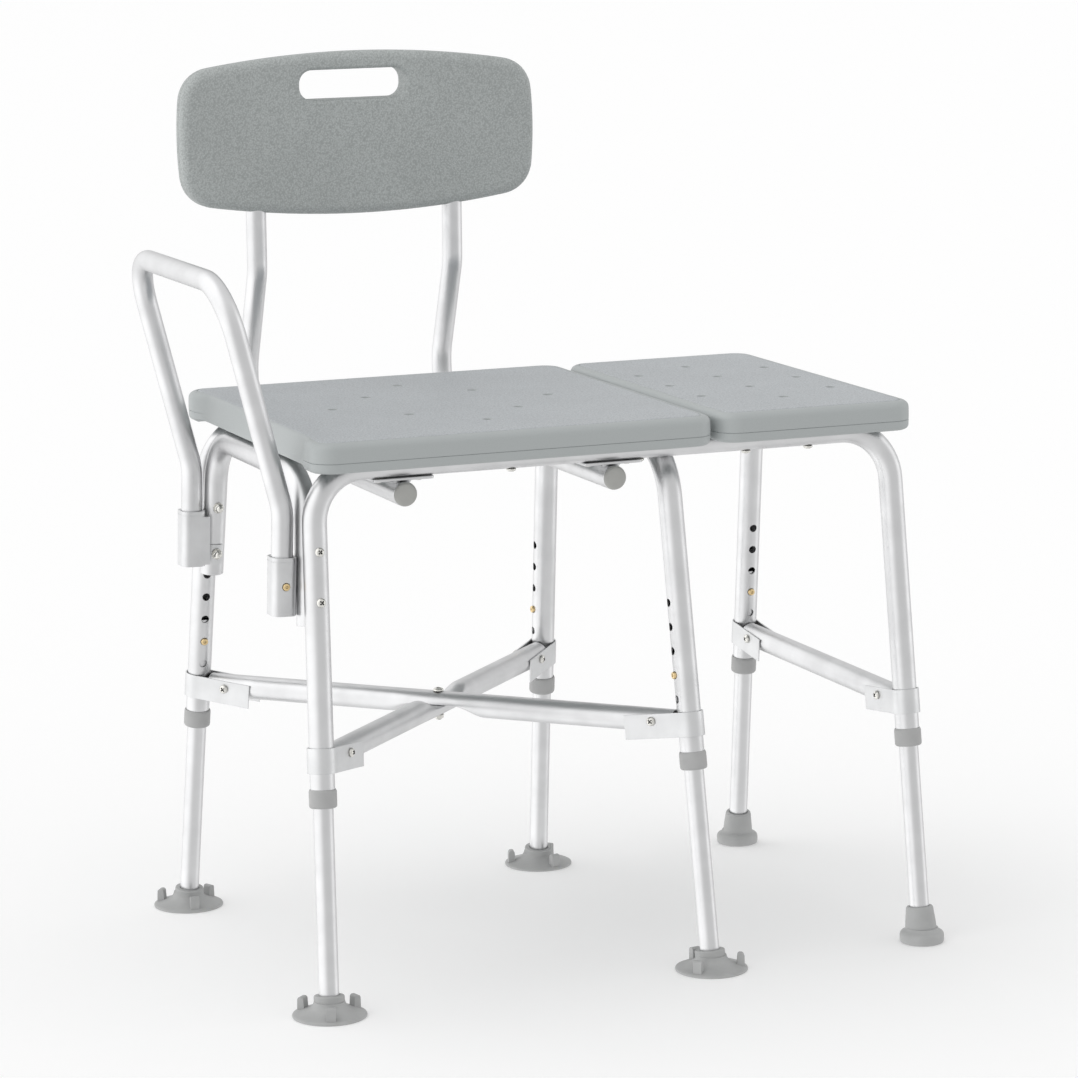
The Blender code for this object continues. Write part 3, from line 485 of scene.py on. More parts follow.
def piece(name, mesh, mat, body, matrix=Matrix.Identity(4), nodes=(), bevel=0.0, angle=32):
    """One visible piece, placed in the bench's frame; it stands for the CAD nodes named."""
    obj = bpy.data.objects.new("v_" + name, mesh)
    bpy.context.scene.collection.objects.link(obj)
    obj.matrix_world = ROOT @ matrix
    keys = mat if isinstance(mat, tuple) else (mat,)
    for key in keys:
        mesh.materials.append(FINISHES[key][0])
    MADE.append((obj, body, FINISHES[keys[0]][1], nodes, bevel, angle))
    return obj


def carve(obj, mesh, matrix=Matrix.Identity(4), operation="DIFFERENCE"):
    """Cut a shape from a piece, or join it on, and keep the result as the piece's mesh."""
    tool = bpy.data.objects.new("tool", mesh)
    bpy.context.scene.collection.objects.link(tool)
    tool.matrix_world = ROOT @ matrix
    modifier = obj.modifiers.new("carve", "BOOLEAN")
    modifier.operation = operation
    modifier.solver = "EXACT"
    modifier.object = tool
    bpy.context.view_layer.update()
    result = bpy.data.meshes.new_from_object(obj.evaluated_get(bpy.context.evaluated_depsgraph_get()))
    obj.modifiers.clear()
    old, obj.data = obj.data, result
    bpy.data.objects.remove(tool)
    bpy.data.meshes.remove(old)


def finish_pieces():
    """Smooth shading with crisp edges, small bevels, and the link of each piece to its body."""
    for obj, body, slot, nodes, bevel, angle in MADE:
        mesh = obj.data
        mesh.shade_smooth()
        mesh.set_sharp_from_angle(angle=math.radians(angle))
        if bevel:
            modifier = obj.modifiers.new("edges", "BEVEL")
            modifier.width = bevel
            modifier.segments = 2
            modifier.limit_method = "ANGLE"
            modifier.angle_limit = math.radians(40)
        weighted = obj.modifiers.new("normals", "WEIGHTED_NORMAL")
        weighted.keep_sharp = True
        weighted.weight = 50
        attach(obj, body)
        if nodes:
            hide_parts(*nodes)


# ---------------------------------------------------------------- legs
class Leg:
    def __init__(self, name, foot, top, faces):
        self.name = name
        self.foot = Vector((*foot, 0.0))
        self.top = Vector((*top, RAIL_Z))
        self.up = (self.top - self.foot).normalized()
        face = Vector(faces)
        self.out = (face - self.up * face.dot(self.up)).normalized()
        self.matrix = axes(self.out, self.up.cross(self.out), self.up, self.foot)

    def at(self, s):
        return self.foot + self.up * s

    def at_height(self, z):
        return self.foot + (self.top - self.foot) * (z / RAIL_Z)


def make_legs():
    legs = {}
    pairs = (("left", LEFT_X, (RAIL_Y, END_FOOT_Y), None), ("middle", MIDDLE_X, MIDDLE_Y, (-1, 0, 0)),
             ("right", RIGHT_X, (RAIL_Y, END_FOOT_Y), None))
    for pair, xs, ys, faces in pairs:
        for row, sign in (("front", -1), ("rear", 1)):
            name = row + "_" + pair
            legs[name] = Leg(name, (xs[1], sign * ys[1]), (xs[0], sign * ys[0]), faces or (0, -sign, 0))
    return legs


def snap_button(name, matrix, s, bore, reach, body):
    """A brass button with a pressed centre, on a folded spring strip inside the tube."""
    at = matrix @ Matrix.Translation((0, 0, s))
    wall_x, thick = bore * 0.83, 0.0008
    top, knee, tip = 0.006, -0.006, -0.030
    outer = [(wall_x, top), (wall_x, knee), (0.0, tip), (-wall_x, top)]
    inner = [(thick - wall_x, top), (0.0, tip + 0.0028), (wall_x - thick, knee), (wall_x - thick, top)]
    strip = prism(name + "_spring", outer + inner, -0.0035, 0.0035, "Y")
    piece(name + "_spring", strip, "steel", body, at)
    r = 0.0038
    profile = [(r, -reach + wall_x), (r, -0.0009), (r * 0.93, -0.0003), (r * 0.78, 0.0), (r * 0.42, -0.0001),
               (r * 0.33, -0.0007), (r * 0.12, -0.0008)]
    turn = axes(Y, Z, X, Vector((reach, 0, 0)))
    piece(name, turned(name, profile, 28), "brass", body, at @ turn, (name,), angle=50)


def suction_foot(leg, tab_turn):
    """A wide cup with a lipped rim, a flared neck and three pull tabs."""
    body = "leg_" + leg.name
    cup = [(0.0370, 0.0), (0.0381, 0.0006), (0.0383, 0.0016), (0.0378, 0.0027), (0.0362, 0.0034),
           (0.0330, 0.0041), (0.0280, 0.0056), (0.0225, 0.0076), (0.0186, 0.0102), (0.0166, 0.0132),
           (0.0159, 0.0160), (0.0060, 0.0160), (0.0060, 0.0050), (0.0230, 0.0030), (0.0320, 0.0)]
    foot = piece("suction_foot_" + leg.name, turned("cup", cup, 56, closed=True), "rubber", body,
                 Matrix.Translation(leg.foot), ("suction_foot_" + leg.name,), angle=42)
    neck = [(0.0150, 0.0060), (0.0157, 0.0120), (0.0158, 0.0198), (0.0154, 0.0209), (0.0146, 0.0214)]
    carve(foot, turned("neck", neck, 48), leg.matrix, "UNION")
    for i in range(3):
        turn = Matrix.Rotation(tab_turn + i * 2 * math.pi / 3, 4, "Z")
        side = [(0.0268, 0.0040), (0.0348, 0.0022), (0.0344, 0.0150), (0.0335, 0.0166), (0.0318, 0.0172),
                (0.0296, 0.0172), (0.0282, 0.0164), (0.0276, 0.0150)]
        carve(foot, prism("tab", side, -0.0048, 0.0048, "Y"), Matrix.Translation(leg.foot) @ turn, "UNION")
    bore = [(INNER_R + 0.0004, INNER_END_S - GAP), (INNER_R + 0.0004, 0.0206), (INNER_R + 0.0014, 0.030)]
    carve(foot, turned("bore", bore, 40), leg.matrix)


def rubber_tip(leg):
    """A bell-shaped tip with a broad rounded base."""
    body = "leg_" + leg.name
    base = [(0.0215, 0.0), (0.0232, 0.0008), (0.0237, 0.0026), (0.0238, 0.0075), (0.0233, 0.0100),
            (0.0218, 0.0118), (0.0198, 0.0128), (0.0184, 0.0140), (0.0172, 0.0160)]
    tip = piece("rubber_tip_" + leg.name, turned("base", base, 56), "rubber", body,
                Matrix.Translation(leg.foot), ("rubber_tip_" + leg.name,), angle=42)
    neck = [(0.0168, 0.0050), (0.0169, 0.0150), (0.0162, 0.0230), (0.0152, 0.0310), (0.0147, 0.0360),
            (0.0143, 0.0374), (0.0134, 0.0385)]
    carve(tip, turned("neck", neck, 48), leg.matrix, "UNION")
    bore = [(INNER_R + 0.0004, INNER_END_S - GAP), (INNER_R + 0.0004, 0.0372), (INNER_R + 0.0016, 0.045)]
    carve(tip, turned("bore", bore, 40), leg.matrix)


def leg_hardware(leg):
    body = "leg_" + leg.name
    stations = (INNER_END_S, 0.10, 0.20, BUTTON_S - 0.008, BUTTON_S + 0.008, INNER_TOP_S)
    path = [Vector((0, 0, z)) for z in stations]
    inner = piece("leg_extension_" + leg.name, tube("inner", path, INNER_R, INNER_WALL), "tube", body,
                  leg.matrix, ("leg_extension_" + leg.name,))
    hole = [(Vector((0.004, 0, BUTTON_S)), Vector((0.016, 0, BUTTON_S)), 0.0042)]
    carve(inner, rods("hole", hole), leg.matrix)
    over, through = FRAME_R + 0.0005, INNER_R + 0.0005
    collar = [(0.01435, 0.0030), (0.01435, 0.0163), (0.0141, 0.0176), (0.0134, 0.0188),
              (over, COLLAR_H), (over, 0.0025), (through, 0.0025), (through, 0.0),
              (0.0124, 0.0), (0.0134, 0.0005), (0.0141, 0.0015)]
    piece("collar_" + leg.name, turned("collar", collar, 48, closed=True), "collar", "frame",
          leg.matrix @ Matrix.Translation((0, 0, COLLAR_S)), ("collar_" + leg.name,), angle=40)
    snap_button("snap_button_" + leg.name, leg.matrix, BUTTON_S, INNER_R - INNER_WALL,
                FRAME_R + 0.0025, "leg_button_" + leg.name)


def drill_leg(obj, leg, bolts=()):
    specs = []
    for k in range(-HOLES_BELOW, HOLES_ABOVE + 1):
        s = BUTTON_S + k * HOLE_PITCH
        specs.append((Vector((0.004, 0, s)), Vector((0.020, 0, s)), HOLE_R))
    for s in bolts:
        specs.append((Vector((-0.020, 0, s)), Vector((0.042, 0, s)), BOLT_HOLE_R))
    carve(obj, rods("holes", specs), leg.matrix)


def hole_stops():
    """Ring places, from the tube's lower end, that keep the wall's facets short beside each hole."""
    stops = []
    for k in range(-HOLES_BELOW, HOLES_ABOVE + 1):
        at = BUTTON_S + k * HOLE_PITCH - OUTER_END_S
        stops += [at - 0.007, at + 0.007]
    return stops + [s + d - OUTER_END_S for s in SIDE_BOLTS_S for d in (-0.007, 0.007)]


def frames(legs):
    """The three bent frames and the short side frame."""
    stops = hole_stops()
    for row in ("front", "rear"):
        left, right = legs[row + "_left"], legs[row + "_right"]
        path = rounded_path([left.at(OUTER_END_S), left.top, right.top, right.at(OUTER_END_S)],
                            (RAIL_BEND, RAIL_BEND))
        name = row + "_frame_tube"
        obj = piece(name, tube(name, with_stops(path, stops), FRAME_R, FRAME_WALL, across=left.out),
                    "tube", "frame", nodes=(name,))
        drill_leg(obj, left, SIDE_BOLTS_S)
        drill_leg(obj, right)
    front, rear = legs["front_middle"], legs["rear_middle"]
    path = rounded_path([front.at(OUTER_END_S), front.at_height(MIDDLE_CROWN_Z),
                         rear.at_height(MIDDLE_CROWN_Z), rear.at(OUTER_END_S)], (MIDDLE_BEND, MIDDLE_BEND))
    obj = piece("middle_frame_tube", tube("middle", with_stops(path, stops[:10]), FRAME_R, FRAME_WALL),
                "tube", "frame", nodes=("middle_frame_tube",))
    drill_leg(obj, front)
    drill_leg(obj, rear)
    front, rear = legs["front_left"], legs["rear_left"]
    ends = []
    for leg in (front, rear):
        start = side_point(leg, 0.0)
        ends.append(start + leg.up * ((SIDE_CROWN_Z - start.z) / leg.up.z))
    path = rounded_path([side_point(front, SIDE_END_S), ends[0], ends[1], side_point(rear, SIDE_END_S)],
                        (SIDE_BEND, SIDE_BEND))
    bolts = [s + d - SIDE_END_S for s in SIDE_BOLTS_S for d in (-0.007, 0.007)]
    obj = piece("side_frame_tube", tube("side", with_stops(path, bolts), FRAME_R, FRAME_WALL),
                "tube", "frame", nodes=("side_frame_tube",))
    for leg in (front, rear):
        specs = [(Vector((0.008, 0, s)), Vector((0.046, 0, s)), BOLT_HOLE_R) for s in SIDE_BOLTS_S]
        carve(obj, rods("bolt_holes", specs), leg.matrix)


def side_point(leg, s):
    return leg.at(s) + leg.out * SIDE_OFFSET


# ---------------------------------------------------------------- fixings
def cross_recess(obj, matrix):
    """A cross-shaped driver recess in a head whose crown is at local -Z."""
    long, short, floor_z = 0.0026, 0.00078, -0.0012
    for w, h in ((long, short), (short, long)):
        carve(obj, prism("recess", rectangle(-w, w, -h, h), -0.0045, floor_z), matrix)


def bolt(name, matrix, grip, nodes=(), nut="dome", body="frame", size=1.0):
    """A pan-head screw along +Z with its head's underside at z = 0, and a nut at z = grip."""
    radius = BOLT_R
    head = radius * 1.62 * size
    profile = [(radius, grip), (radius, 0.0), (head * 0.96, 0.0), (head, -0.0005),
               (head * 0.97, -0.0014), (head * 0.84, -0.0023), (head * 0.60, -0.0030),
               (head * 0.30, -0.0033), (head * 0.05, -0.0034)]
    screw = piece(name, turned(name, profile, 32), "steel", body, matrix, nodes, angle=40)
    cross_recess(screw, matrix)
    if nut == "none":
        return
    seat = matrix @ Matrix.Translation((0, 0, grip))
    flange = [(radius * 0.8, 0.0), (radius * 1.95, 0.0), (radius * 2.0, 0.0004), (radius * 1.9, 0.0009),
              (radius * 0.8, 0.0010)]
    piece(name + "_washer", turned("washer", flange, 32), "steel", body, seat)
    rows = []
    across = radius * 1.72
    for z, scale, corner in ((0.0009, 0.93, 1), (0.0014, 1.0, 1), (0.0036, 1.0, 1), (0.0042, 0.90, 0)):
        points = []
        for i in range(36):
            angle = i * math.pi / 18
            hexed = math.cos(math.pi / 6) / math.cos((angle % (math.pi / 3)) - math.pi / 6)
            reach = across * scale * (hexed * 1.06 if corner else 0.92)
            points.append((reach * math.cos(angle), reach * math.sin(angle), z))
        rows.append(points)
    dome = ((0.0046, 0.80), (0.0060, 0.74), (0.0072, 0.56), (0.0079, 0.30), (0.0081, 0.06))
    if nut != "dome":
        dome = ((0.0043, 0.60), (0.0056, 0.56), (0.0058, 0.45), (0.0058, 0.06))
    rows += [ring(Vector((0, 0, z)), X, Y, across * scale, 36) for z, scale in dome]
    piece(name + "_nut", loft("nut", rows), "steel", body, seat, angle=38)


def bolt_matrix(start, direction):
    side = direction.orthogonal().normalized()
    return axes(side, direction.cross(side), direction, start)


def side_bolts(legs):
    for leg in (legs["front_left"], legs["rear_left"]):
        for label, s in zip(("lower", "upper"), SIDE_BOLTS_S):
            wrap = SHEET + GAP + 0.0004 if label == "lower" else 0.0
            grip = 2 * (FRAME_R + GAP) + SIDE_OFFSET + wrap
            name = "side_bolt_%s_%s" % (label, leg.name)
            matrix = leg.matrix @ bolt_matrix(Vector((-FRAME_R - GAP, 0, s)), X)
            bolt(name, matrix, grip, (name,))


# ---------------------------------------------------------------- braces
BRACES = (
    ("cross_brace_upper", "rear_left", "front_middle", "below"),
    ("cross_brace_lower", "front_left", "rear_middle", "above"),
    ("end_brace", "rear_right", "front_right", None),
)


def pressed(points, point, kind, middle, face):
    """Press one half of a brace flat where the two braces cross."""
    reach = (point - middle).length
    amount = max(0.0, min(1.0, (0.055 - reach) / 0.038))
    amount = amount * amount * (3 - 2 * amount)
    sign = 1 if face == "below" else -1
    flat = sign * (GAP if kind == "outer" else GAP + BRACE_WALL)
    moved = []
    for p in points:
        offset = p - point
        height = offset.z
        if height * sign < flat * sign:
            height += (flat - height) * amount
        spread = 1 + 0.10 * amount
        moved.append(point + Vector((offset.x * spread, offset.y * spread, height)))
    return moved


def braces(legs):
    for name, first, second, face in BRACES:
        ends = [legs[first].at_height(BRACE_Z), legs[second].at_height(BRACE_Z)]
        middle = (ends[0] + ends[1]) / 2
        along = (ends[1] - ends[0]).normalized()
        path = [ends[0] + along * BRACE_START]
        path += [ends[0] + along * (BOLT_AT + d) for d in (-0.006, 0.006)]
        shape = None
        if face:
            path += [middle + along * (t / 1000) for t in range(-58, 59, 4)]

            def shape(points, point, kind, middle=middle, face=face):
                return pressed(points, point, kind, middle, face)
        path += [ends[1] - along * (BOLT_AT + d) for d in (0.006, -0.006)]
        path.append(ends[1] - along * BRACE_START)
        brace = piece(name, tube(name, path, FRAME_R, BRACE_WALL, across=Z, shape=shape), "tube", "frame",
                      nodes=(name,))
        if face:
            lift = Vector((0, 0, 0.02))
            carve(brace, rods("hole", [(middle - lift, middle + lift, BOLT_HOLE_R)]))
        for leg_name, direction in ((first, along), (second, -along)):
            brace_bracket(legs[leg_name], direction, brace)
    crossing = (legs["front_left"].at_height(BRACE_Z) + legs["rear_middle"].at_height(BRACE_Z)) / 2
    top = crossing + Vector((0, 0, FRAME_R + GAP))
    bolt("cross_bolt", bolt_matrix(top, -Z), 2 * (FRAME_R + GAP), ("cross_bolt",), "plain", size=1.2)


def bracket_outline():
    inner = FRAME_R + 0.0008
    outer = inner + SHEET
    flange_in = FRAME_R + GAP
    flange_out = flange_in + SHEET
    outline = [(BRACKET_LONG, -flange_in), (0.010, -flange_in), (0.003, -inner)]
    outline += arc(0, 0, inner, 270, 90, 26)
    outline += [(0.003, inner), (0.010, flange_in), (BRACKET_LONG, flange_in), (BRACKET_LONG, flange_out),
                (0.010, flange_out), (0.003, outer)]
    outline += arc(0, 0, outer, 90, 270, 26)
    outline += [(0.003, -outer), (0.010, -flange_out), (BRACKET_LONG, -flange_out)]
    return outline


def brace_bracket(leg, direction, brace):
    """The folded bracket round a leg, with its bolt and the holes for it."""
    normal = leg.up.cross(direction).normalized()
    outward = normal.cross(leg.up)
    matrix = axes(outward, normal, leg.up, leg.at(BRACKET_S))
    half = BRACKET_H / 2
    name = "brace_bracket_" + leg.name
    bracket = piece(name, prism(name, bracket_outline(), -half, half), "plate", "frame", matrix, (name,),
                    bevel=0.0003)
    local = matrix.inverted() @ (leg.at_height(BRACE_Z) + direction * BOLT_AT)
    side = -1 if normal.y > 0 else 1
    if abs(normal.y) < 0.3:
        side = -1 if normal.x > 0 else 1
    rod = [(local - Y * 0.022, local + Y * 0.022, BOLT_HOLE_R)]
    carve(bracket, rods("hole", rod), matrix)
    carve(brace, rods("hole", rod), matrix)
    grip = 2 * (FRAME_R + GAP + SHEET + GAP)
    start = local + Y * (side * grip / 2)
    bolt_name = "brace_bolt_" + leg.name
    nodes = (bolt_name,) if bolt_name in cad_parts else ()
    bolt(bolt_name, matrix @ bolt_matrix(start, Y * -side), grip, nodes, "plain")


# ---------------------------------------------------------------- seats
def recess_at(z):
    """X of the scooped left side at a height."""
    for (z0, x0), (z1, x1) in zip(RECESS_X, RECESS_X[1:]):
        if z <= z1:
            return x0 + (x1 - x0) * max(0.0, (z - z0) / (z1 - z0))
    return RECESS_X[-1][1]


def seat_outline(x_range, half_y, inset, scoop=None, corner=8, spans=24):
    """The rounded outline with evenly spread side points; scoop is the recess's X at this height."""
    x0, x1 = x_range[0] + inset, x_range[1] - inset
    y1 = half_y - inset
    radius = max(SEAT_CORNER - inset, 0.006)
    outline = []
    outline += arc(x1 - radius, -y1 + radius, radius, -90, 0, corner)
    outline += arc(x1 - radius, y1 - radius, radius, 0, 90, corner)
    outline += arc(x0 + radius, y1 - radius, radius, 90, 180, corner)
    for k in range(1, spans):
        t = k / spans
        y = (y1 - radius) * (1 - 2 * t)
        x = x0
        if scoop is not None:
            ease = max(0.0, min(1.0, (RECESS_HALF - abs(y)) / 0.016))
            ease = ease * ease * (3 - 2 * ease)
            x = x0 + (scoop - x0) * ease
        outline.append((x, y))
    outline += arc(x0 + radius, -y1 + radius, radius, 180, 270, corner)
    return outline


def seat_levels():
    """(height, inset) round the seat's edge from its underside to its top."""
    low, high, lower_edge = SEAT_BOTTOM_Z, SEAT_TOP_Z, 0.0052
    levels = [(low, 0.0078)] + arc(low + lower_edge, lower_edge, lower_edge, 180, 270, 6)
    line = low + 0.0105
    levels += [(line - 0.0012, -0.0001), (line - 0.0004, -0.0001), (line, 0.0006), (line + 0.0004, -0.0001)]
    levels += [(line + 0.0040, -0.0002), (high - 0.0105, -0.0001), (high - 0.0085, 0.0)]
    for k in range(1, 9):
        angle = math.radians(90 * k / 8)
        levels.append((high - 0.0082 + 0.0078 * math.sin(angle), 0.0086 * (1 - math.cos(angle))))
    levels += [(high - 0.0007, 0.0089), (high - 0.0019, 0.0095), (high - 0.0019, 0.0100),
               (high - 0.0006, 0.0106), (high, 0.0117), (high, 0.0140), (high, 0.0300)]
    return levels


def seat(name, x_range, half_y, scooped, drains, notch):
    bm = bmesh.new()
    loops = []
    tops = []
    levels = seat_levels()

    def level(z, inset, scoop=None):
        """The outline at a height, raised on the scooped side to clear the side frame."""
        points = []
        for x, y in seat_outline(x_range, half_y, inset, scoop):
            lifted = scooped and x < 0.010 and abs(y) < RECESS_HALF - 0.006 and z < RECESS_LIFT_Z
            points.append((x, y, RECESS_LIFT_Z if lifted else z))
        return add(bm, points)

    for z, inset in levels:
        scoop = recess_at(z) + max(0.0, inset - 0.0086) if scooped else None
        if scooped and z < SEAT_BOTTOM_Z + 0.003:
            scoop += 0.0020
        loops.append(level(z, inset, scoop))
    pocket = [level(z, SEAT_RIM) for z in (SEAT_CEILING_Z, SEAT_BOTTOM_Z)]
    for i, (a, b) in enumerate(zip(loops, loops[1:])):
        faces = bridge(bm, a, b)
        if i >= len(levels) - 4:
            tops += faces
    tops.append(bm.faces.new(loops[-1]))
    # The top faces take the seat copy that is painted lighter, as painted light from above.
    for face in tops:
        face.material_index = 1
    bridge(bm, pocket[0], pocket[1])
    bridge(bm, pocket[1], loops[0])
    bm.faces.new(pocket[0])
    obj = piece(name, done(bm, name), ("seat_side", "seat_top"), "frame", nodes=(name,), angle=46)
    holes, sinks = [], []
    for x, y in drains:
        spot = Vector((x, y, SEAT_TOP_Z))
        holes.append((Vector((x, y, SEAT_BOTTOM_Z - 0.01)), spot - Z * 0.0016, 0.0040))
        sinks.append((spot - Z * 0.0030, spot + Z * 0.0012, 0.0036, 0.0064))
    carve(obj, rods("drains", holes))
    carve(obj, rods("sinks", sinks, 32))
    for sign in (-1, 1):
        half = FRAME_R + 0.001
        outline = rectangle(*notch, sign * RAIL_Y - half, sign * RAIL_Y + half)
        carve(obj, prism("notch", outline, SEAT_BOTTOM_Z - 0.01, SEAT_CEILING_Z))


def seats():
    drains = []
    for i in (-1, 0, 1):
        for j in (-1, 0, 1):
            if i or j:
                drains.append((0.203 + (i + j) * 0.061, (i - j) * 0.0665))
    seat("main_seat", MAIN_X, MAIN_Y, True, drains, (0.395, 0.440))
    drains = []
    for x, count in ((0.467, 3), (0.543, 4), (0.619, 3)):
        drains += [(x, (k - (count - 1) / 2) * 0.084) for k in range(count)]
    seat("extension_seat", EXT_X, EXT_Y, False, drains, (0.420, 0.460))
    for x in (0.070, 0.215, 0.358, 0.480, 0.552):
        for sign in (-1, 1):
            start = Vector((x, sign * RAIL_Y, RAIL_Z - FRAME_R - 0.0002))
            bolt("seat_screw_%d_%s" % (round(x * 1000), "front" if sign < 0 else "rear"),
                 bolt_matrix(start, Z), 0.020, nut="none", size=1.05)


# ---------------------------------------------------------------- back rest
def back_outline(inset):
    """Four bowed sides joined by round corners."""
    half_w, half_h = BACK_HALF_W - inset, BACK_HALF_H - inset
    corner_x, corner_z = half_w - BACK_BOW_X, half_h - BACK_BOW_Z
    radius = max(BACK_CORNER - inset, 0.012)

    def top(x):
        return Vector((x, half_h - BACK_BOW_Z * (x / corner_x) ** 2))

    def side(z):
        return Vector((half_w - BACK_BOW_X * (z / corner_z) ** 2, z))

    quarter = [tuple(top((corner_x - radius) * k / 12)) for k in range(12)]
    p0, p3 = top(corner_x - radius), side(corner_z - radius)
    corner = Vector((corner_x + 0.0015, corner_z + 0.0015))
    c0, c3 = p0.lerp(corner, 0.60), p3.lerp(corner, 0.60)
    for k in range(11):
        t = k / 10
        spot = p0 * (1 - t) ** 3 + c0 * 3 * t * (1 - t) ** 2 + c3 * 3 * t * t * (1 - t) + p3 * t ** 3
        quarter.append((spot.x, spot.y))
    quarter += [tuple(side(p3.y * (1 - k / 5))) for k in range(1, 6)]
    right_down = [(x, -z) for x, z in reversed(quarter[:-1])]
    right = quarter + right_down
    left = [(-x, z) for x, z in reversed(right[1:-1])]
    return right + left


def slot_cutter():
    """The slot with its mouth flared by a rounded lip on both faces."""
    front, rear = BACK_Y
    lip = 0.0045
    stations = [(front - 0.004, 0.0048)] + arc(front + lip, lip, lip, 195, 270, 5)
    stations += [(front + rear - y, grow) for y, grow in reversed(stations)]
    rows = []
    for y, grow in stations:
        outline = round_rectangle(SLOT_HALF_W + grow, SLOT_HALF_H + grow, SLOT_R + grow, 9, (SLOT_X, SLOT_Z))
        rows.append([(x, y, z) for x, z in outline])
    return loft("slot", rows)


def back_rest():
    """The panel, crowned at its edge, with its parting line, its hand slot and the posts' bores."""
    front, rear = BACK_Y
    edge = 0.0092
    stations = [(front, 0.030), (front, 0.0105)] + arc(front + edge, edge, edge, 180, 270, 8)
    middle = (front + rear) / 2
    stations += [(middle - 0.0006, 0.0), (middle, 0.0008), (middle + 0.0006, 0.0)]
    stations += [(front + rear - y, inset) for y, inset in reversed(stations[:11])]
    rows = [[(x + BACK_X, y, z + BACK_Z) for x, z in back_outline(inset)] for y, inset in stations]
    panel = piece("back_panel", loft("panel", rows), "back", "back", nodes=("back_panel",), angle=50)
    carve(panel, slot_cutter())
    specs = [(Vector((x, POST_UPPER_Y, BACK_Z - BACK_HALF_H - 0.02)),
              Vector((x, POST_UPPER_Y, POST_TOP_Z + GAP)), SLIM_R + 0.0005) for x in POST_X]
    carve(panel, rods("bores", specs, 40))


def back_supports():
    for side, x in zip(("left", "right"), POST_X):
        corners = [(x, POST_INNER_Y, RECEIVER_Z), (x, POST_LOWER_Y, RECEIVER_Z),
                   (x, POST_LOWER_Y, POST_KNEE_Z[0]), (x, POST_UPPER_Y, POST_KNEE_Z[1]),
                   (x, POST_UPPER_Y, POST_TOP_Z)]
        path = rounded_path(corners, (0.058, 0.050, 0.050), 12)
        name = "back_post_" + side
        piece(name, tube(name, path, SLIM_R, SLIM_WALL), "tube", "back", nodes=(name,))
        for z in (0.792, 0.838):
            start = Vector((x, BACK_Y[1] + 0.0003, z))
            bolt("panel_screw_%s_%d" % (side, round(z * 1000)), bolt_matrix(start, -Y), 0.010, nut="none",
                 body="back")
        name = "back_receiver_" + side
        path = [Vector((x, y, RECEIVER_Z)) for y in (RECEIVER_Y[0], -0.10, 0.0, 0.10, RECEIVER_Y[1])]
        receiver = piece(name, tube(name, path, FRAME_R, RECEIVER_WALL), "tube", "frame", nodes=(name,))
        top = RAIL_Z - FRAME_R - GAP
        for row, y0 in (("front", RECEIVER_Y[0] + 0.002), ("rear", RECEIVER_Y[1] - 0.002 - PLATE_DEEP)):
            outline = round_rectangle(PLATE_LONG / 2, PLATE_DEEP / 2, 0.004, 4, (x, y0 + PLATE_DEEP / 2))
            plate = "receiver_plate_%s_%s" % (row, side)
            piece(plate, prism(plate, outline, top - PLATE_THICK, top), "plate", "frame", bevel=0.0005)
            weld_bead("weld_%s_%s" % (row, side), x, y0 + 0.004, y0 + PLATE_DEEP - 0.004, top - PLATE_THICK)
            along = PLATE_DEEP / 2 * (1.1 if row == "rear" else 0.9)
            for i, d in enumerate((-0.022, 0.022)):
                head = Vector((x + d, y0 + along, top - PLATE_THICK - 0.0002))
                bolt("plate_screw_%s_%s_%d" % (row, side, i), bolt_matrix(head, Z), 0.006, nut="none")
        cap = [(0.0020, -0.0034), (0.0098, -0.0032), (0.0112, -0.0027), (0.0121, -0.0016), (0.0124, -0.0004),
               (0.0122, 0.0), (0.0108, 0.0), (0.0106, 0.010)]
        matrix = axes(X, -Z, Y, Vector((x, RECEIVER_Y[0] - GAP, RECEIVER_Z)))
        piece("receiver_cap_" + side, turned("cap", cap, 48), "cap", "frame", matrix,
              ("receiver_cap_" + side,), angle=40)


def weld_bead(name, x, y0, y1, z):
    """A rippled weld between a receiver and its plate, on both flanks."""
    for flank in (-1, 1):
        rows = []
        steps = 40
        for k in range(steps + 1):
            y = y0 + (y1 - y0) * k / steps
            swell = 1 + 0.16 * math.sin(k * 1.9)
            if k in (0, steps):
                swell = 0.25
            center = Vector((x + flank * 0.0062, y, z - 0.0004))
            rows.append(ring(center, X, Z, 0.0026 * swell, 12))
        piece("%s_%d" % (name, 0 if flank < 0 else 1), loft(name, rows), "plate", "frame", angle=60)


# ---------------------------------------------------------------- arm rail
def arm_axis_point(sign, z):
    return Vector((ARM_X + ARM_LEAN * (z - ARM_MID_Z), sign * ARM_Y, z))


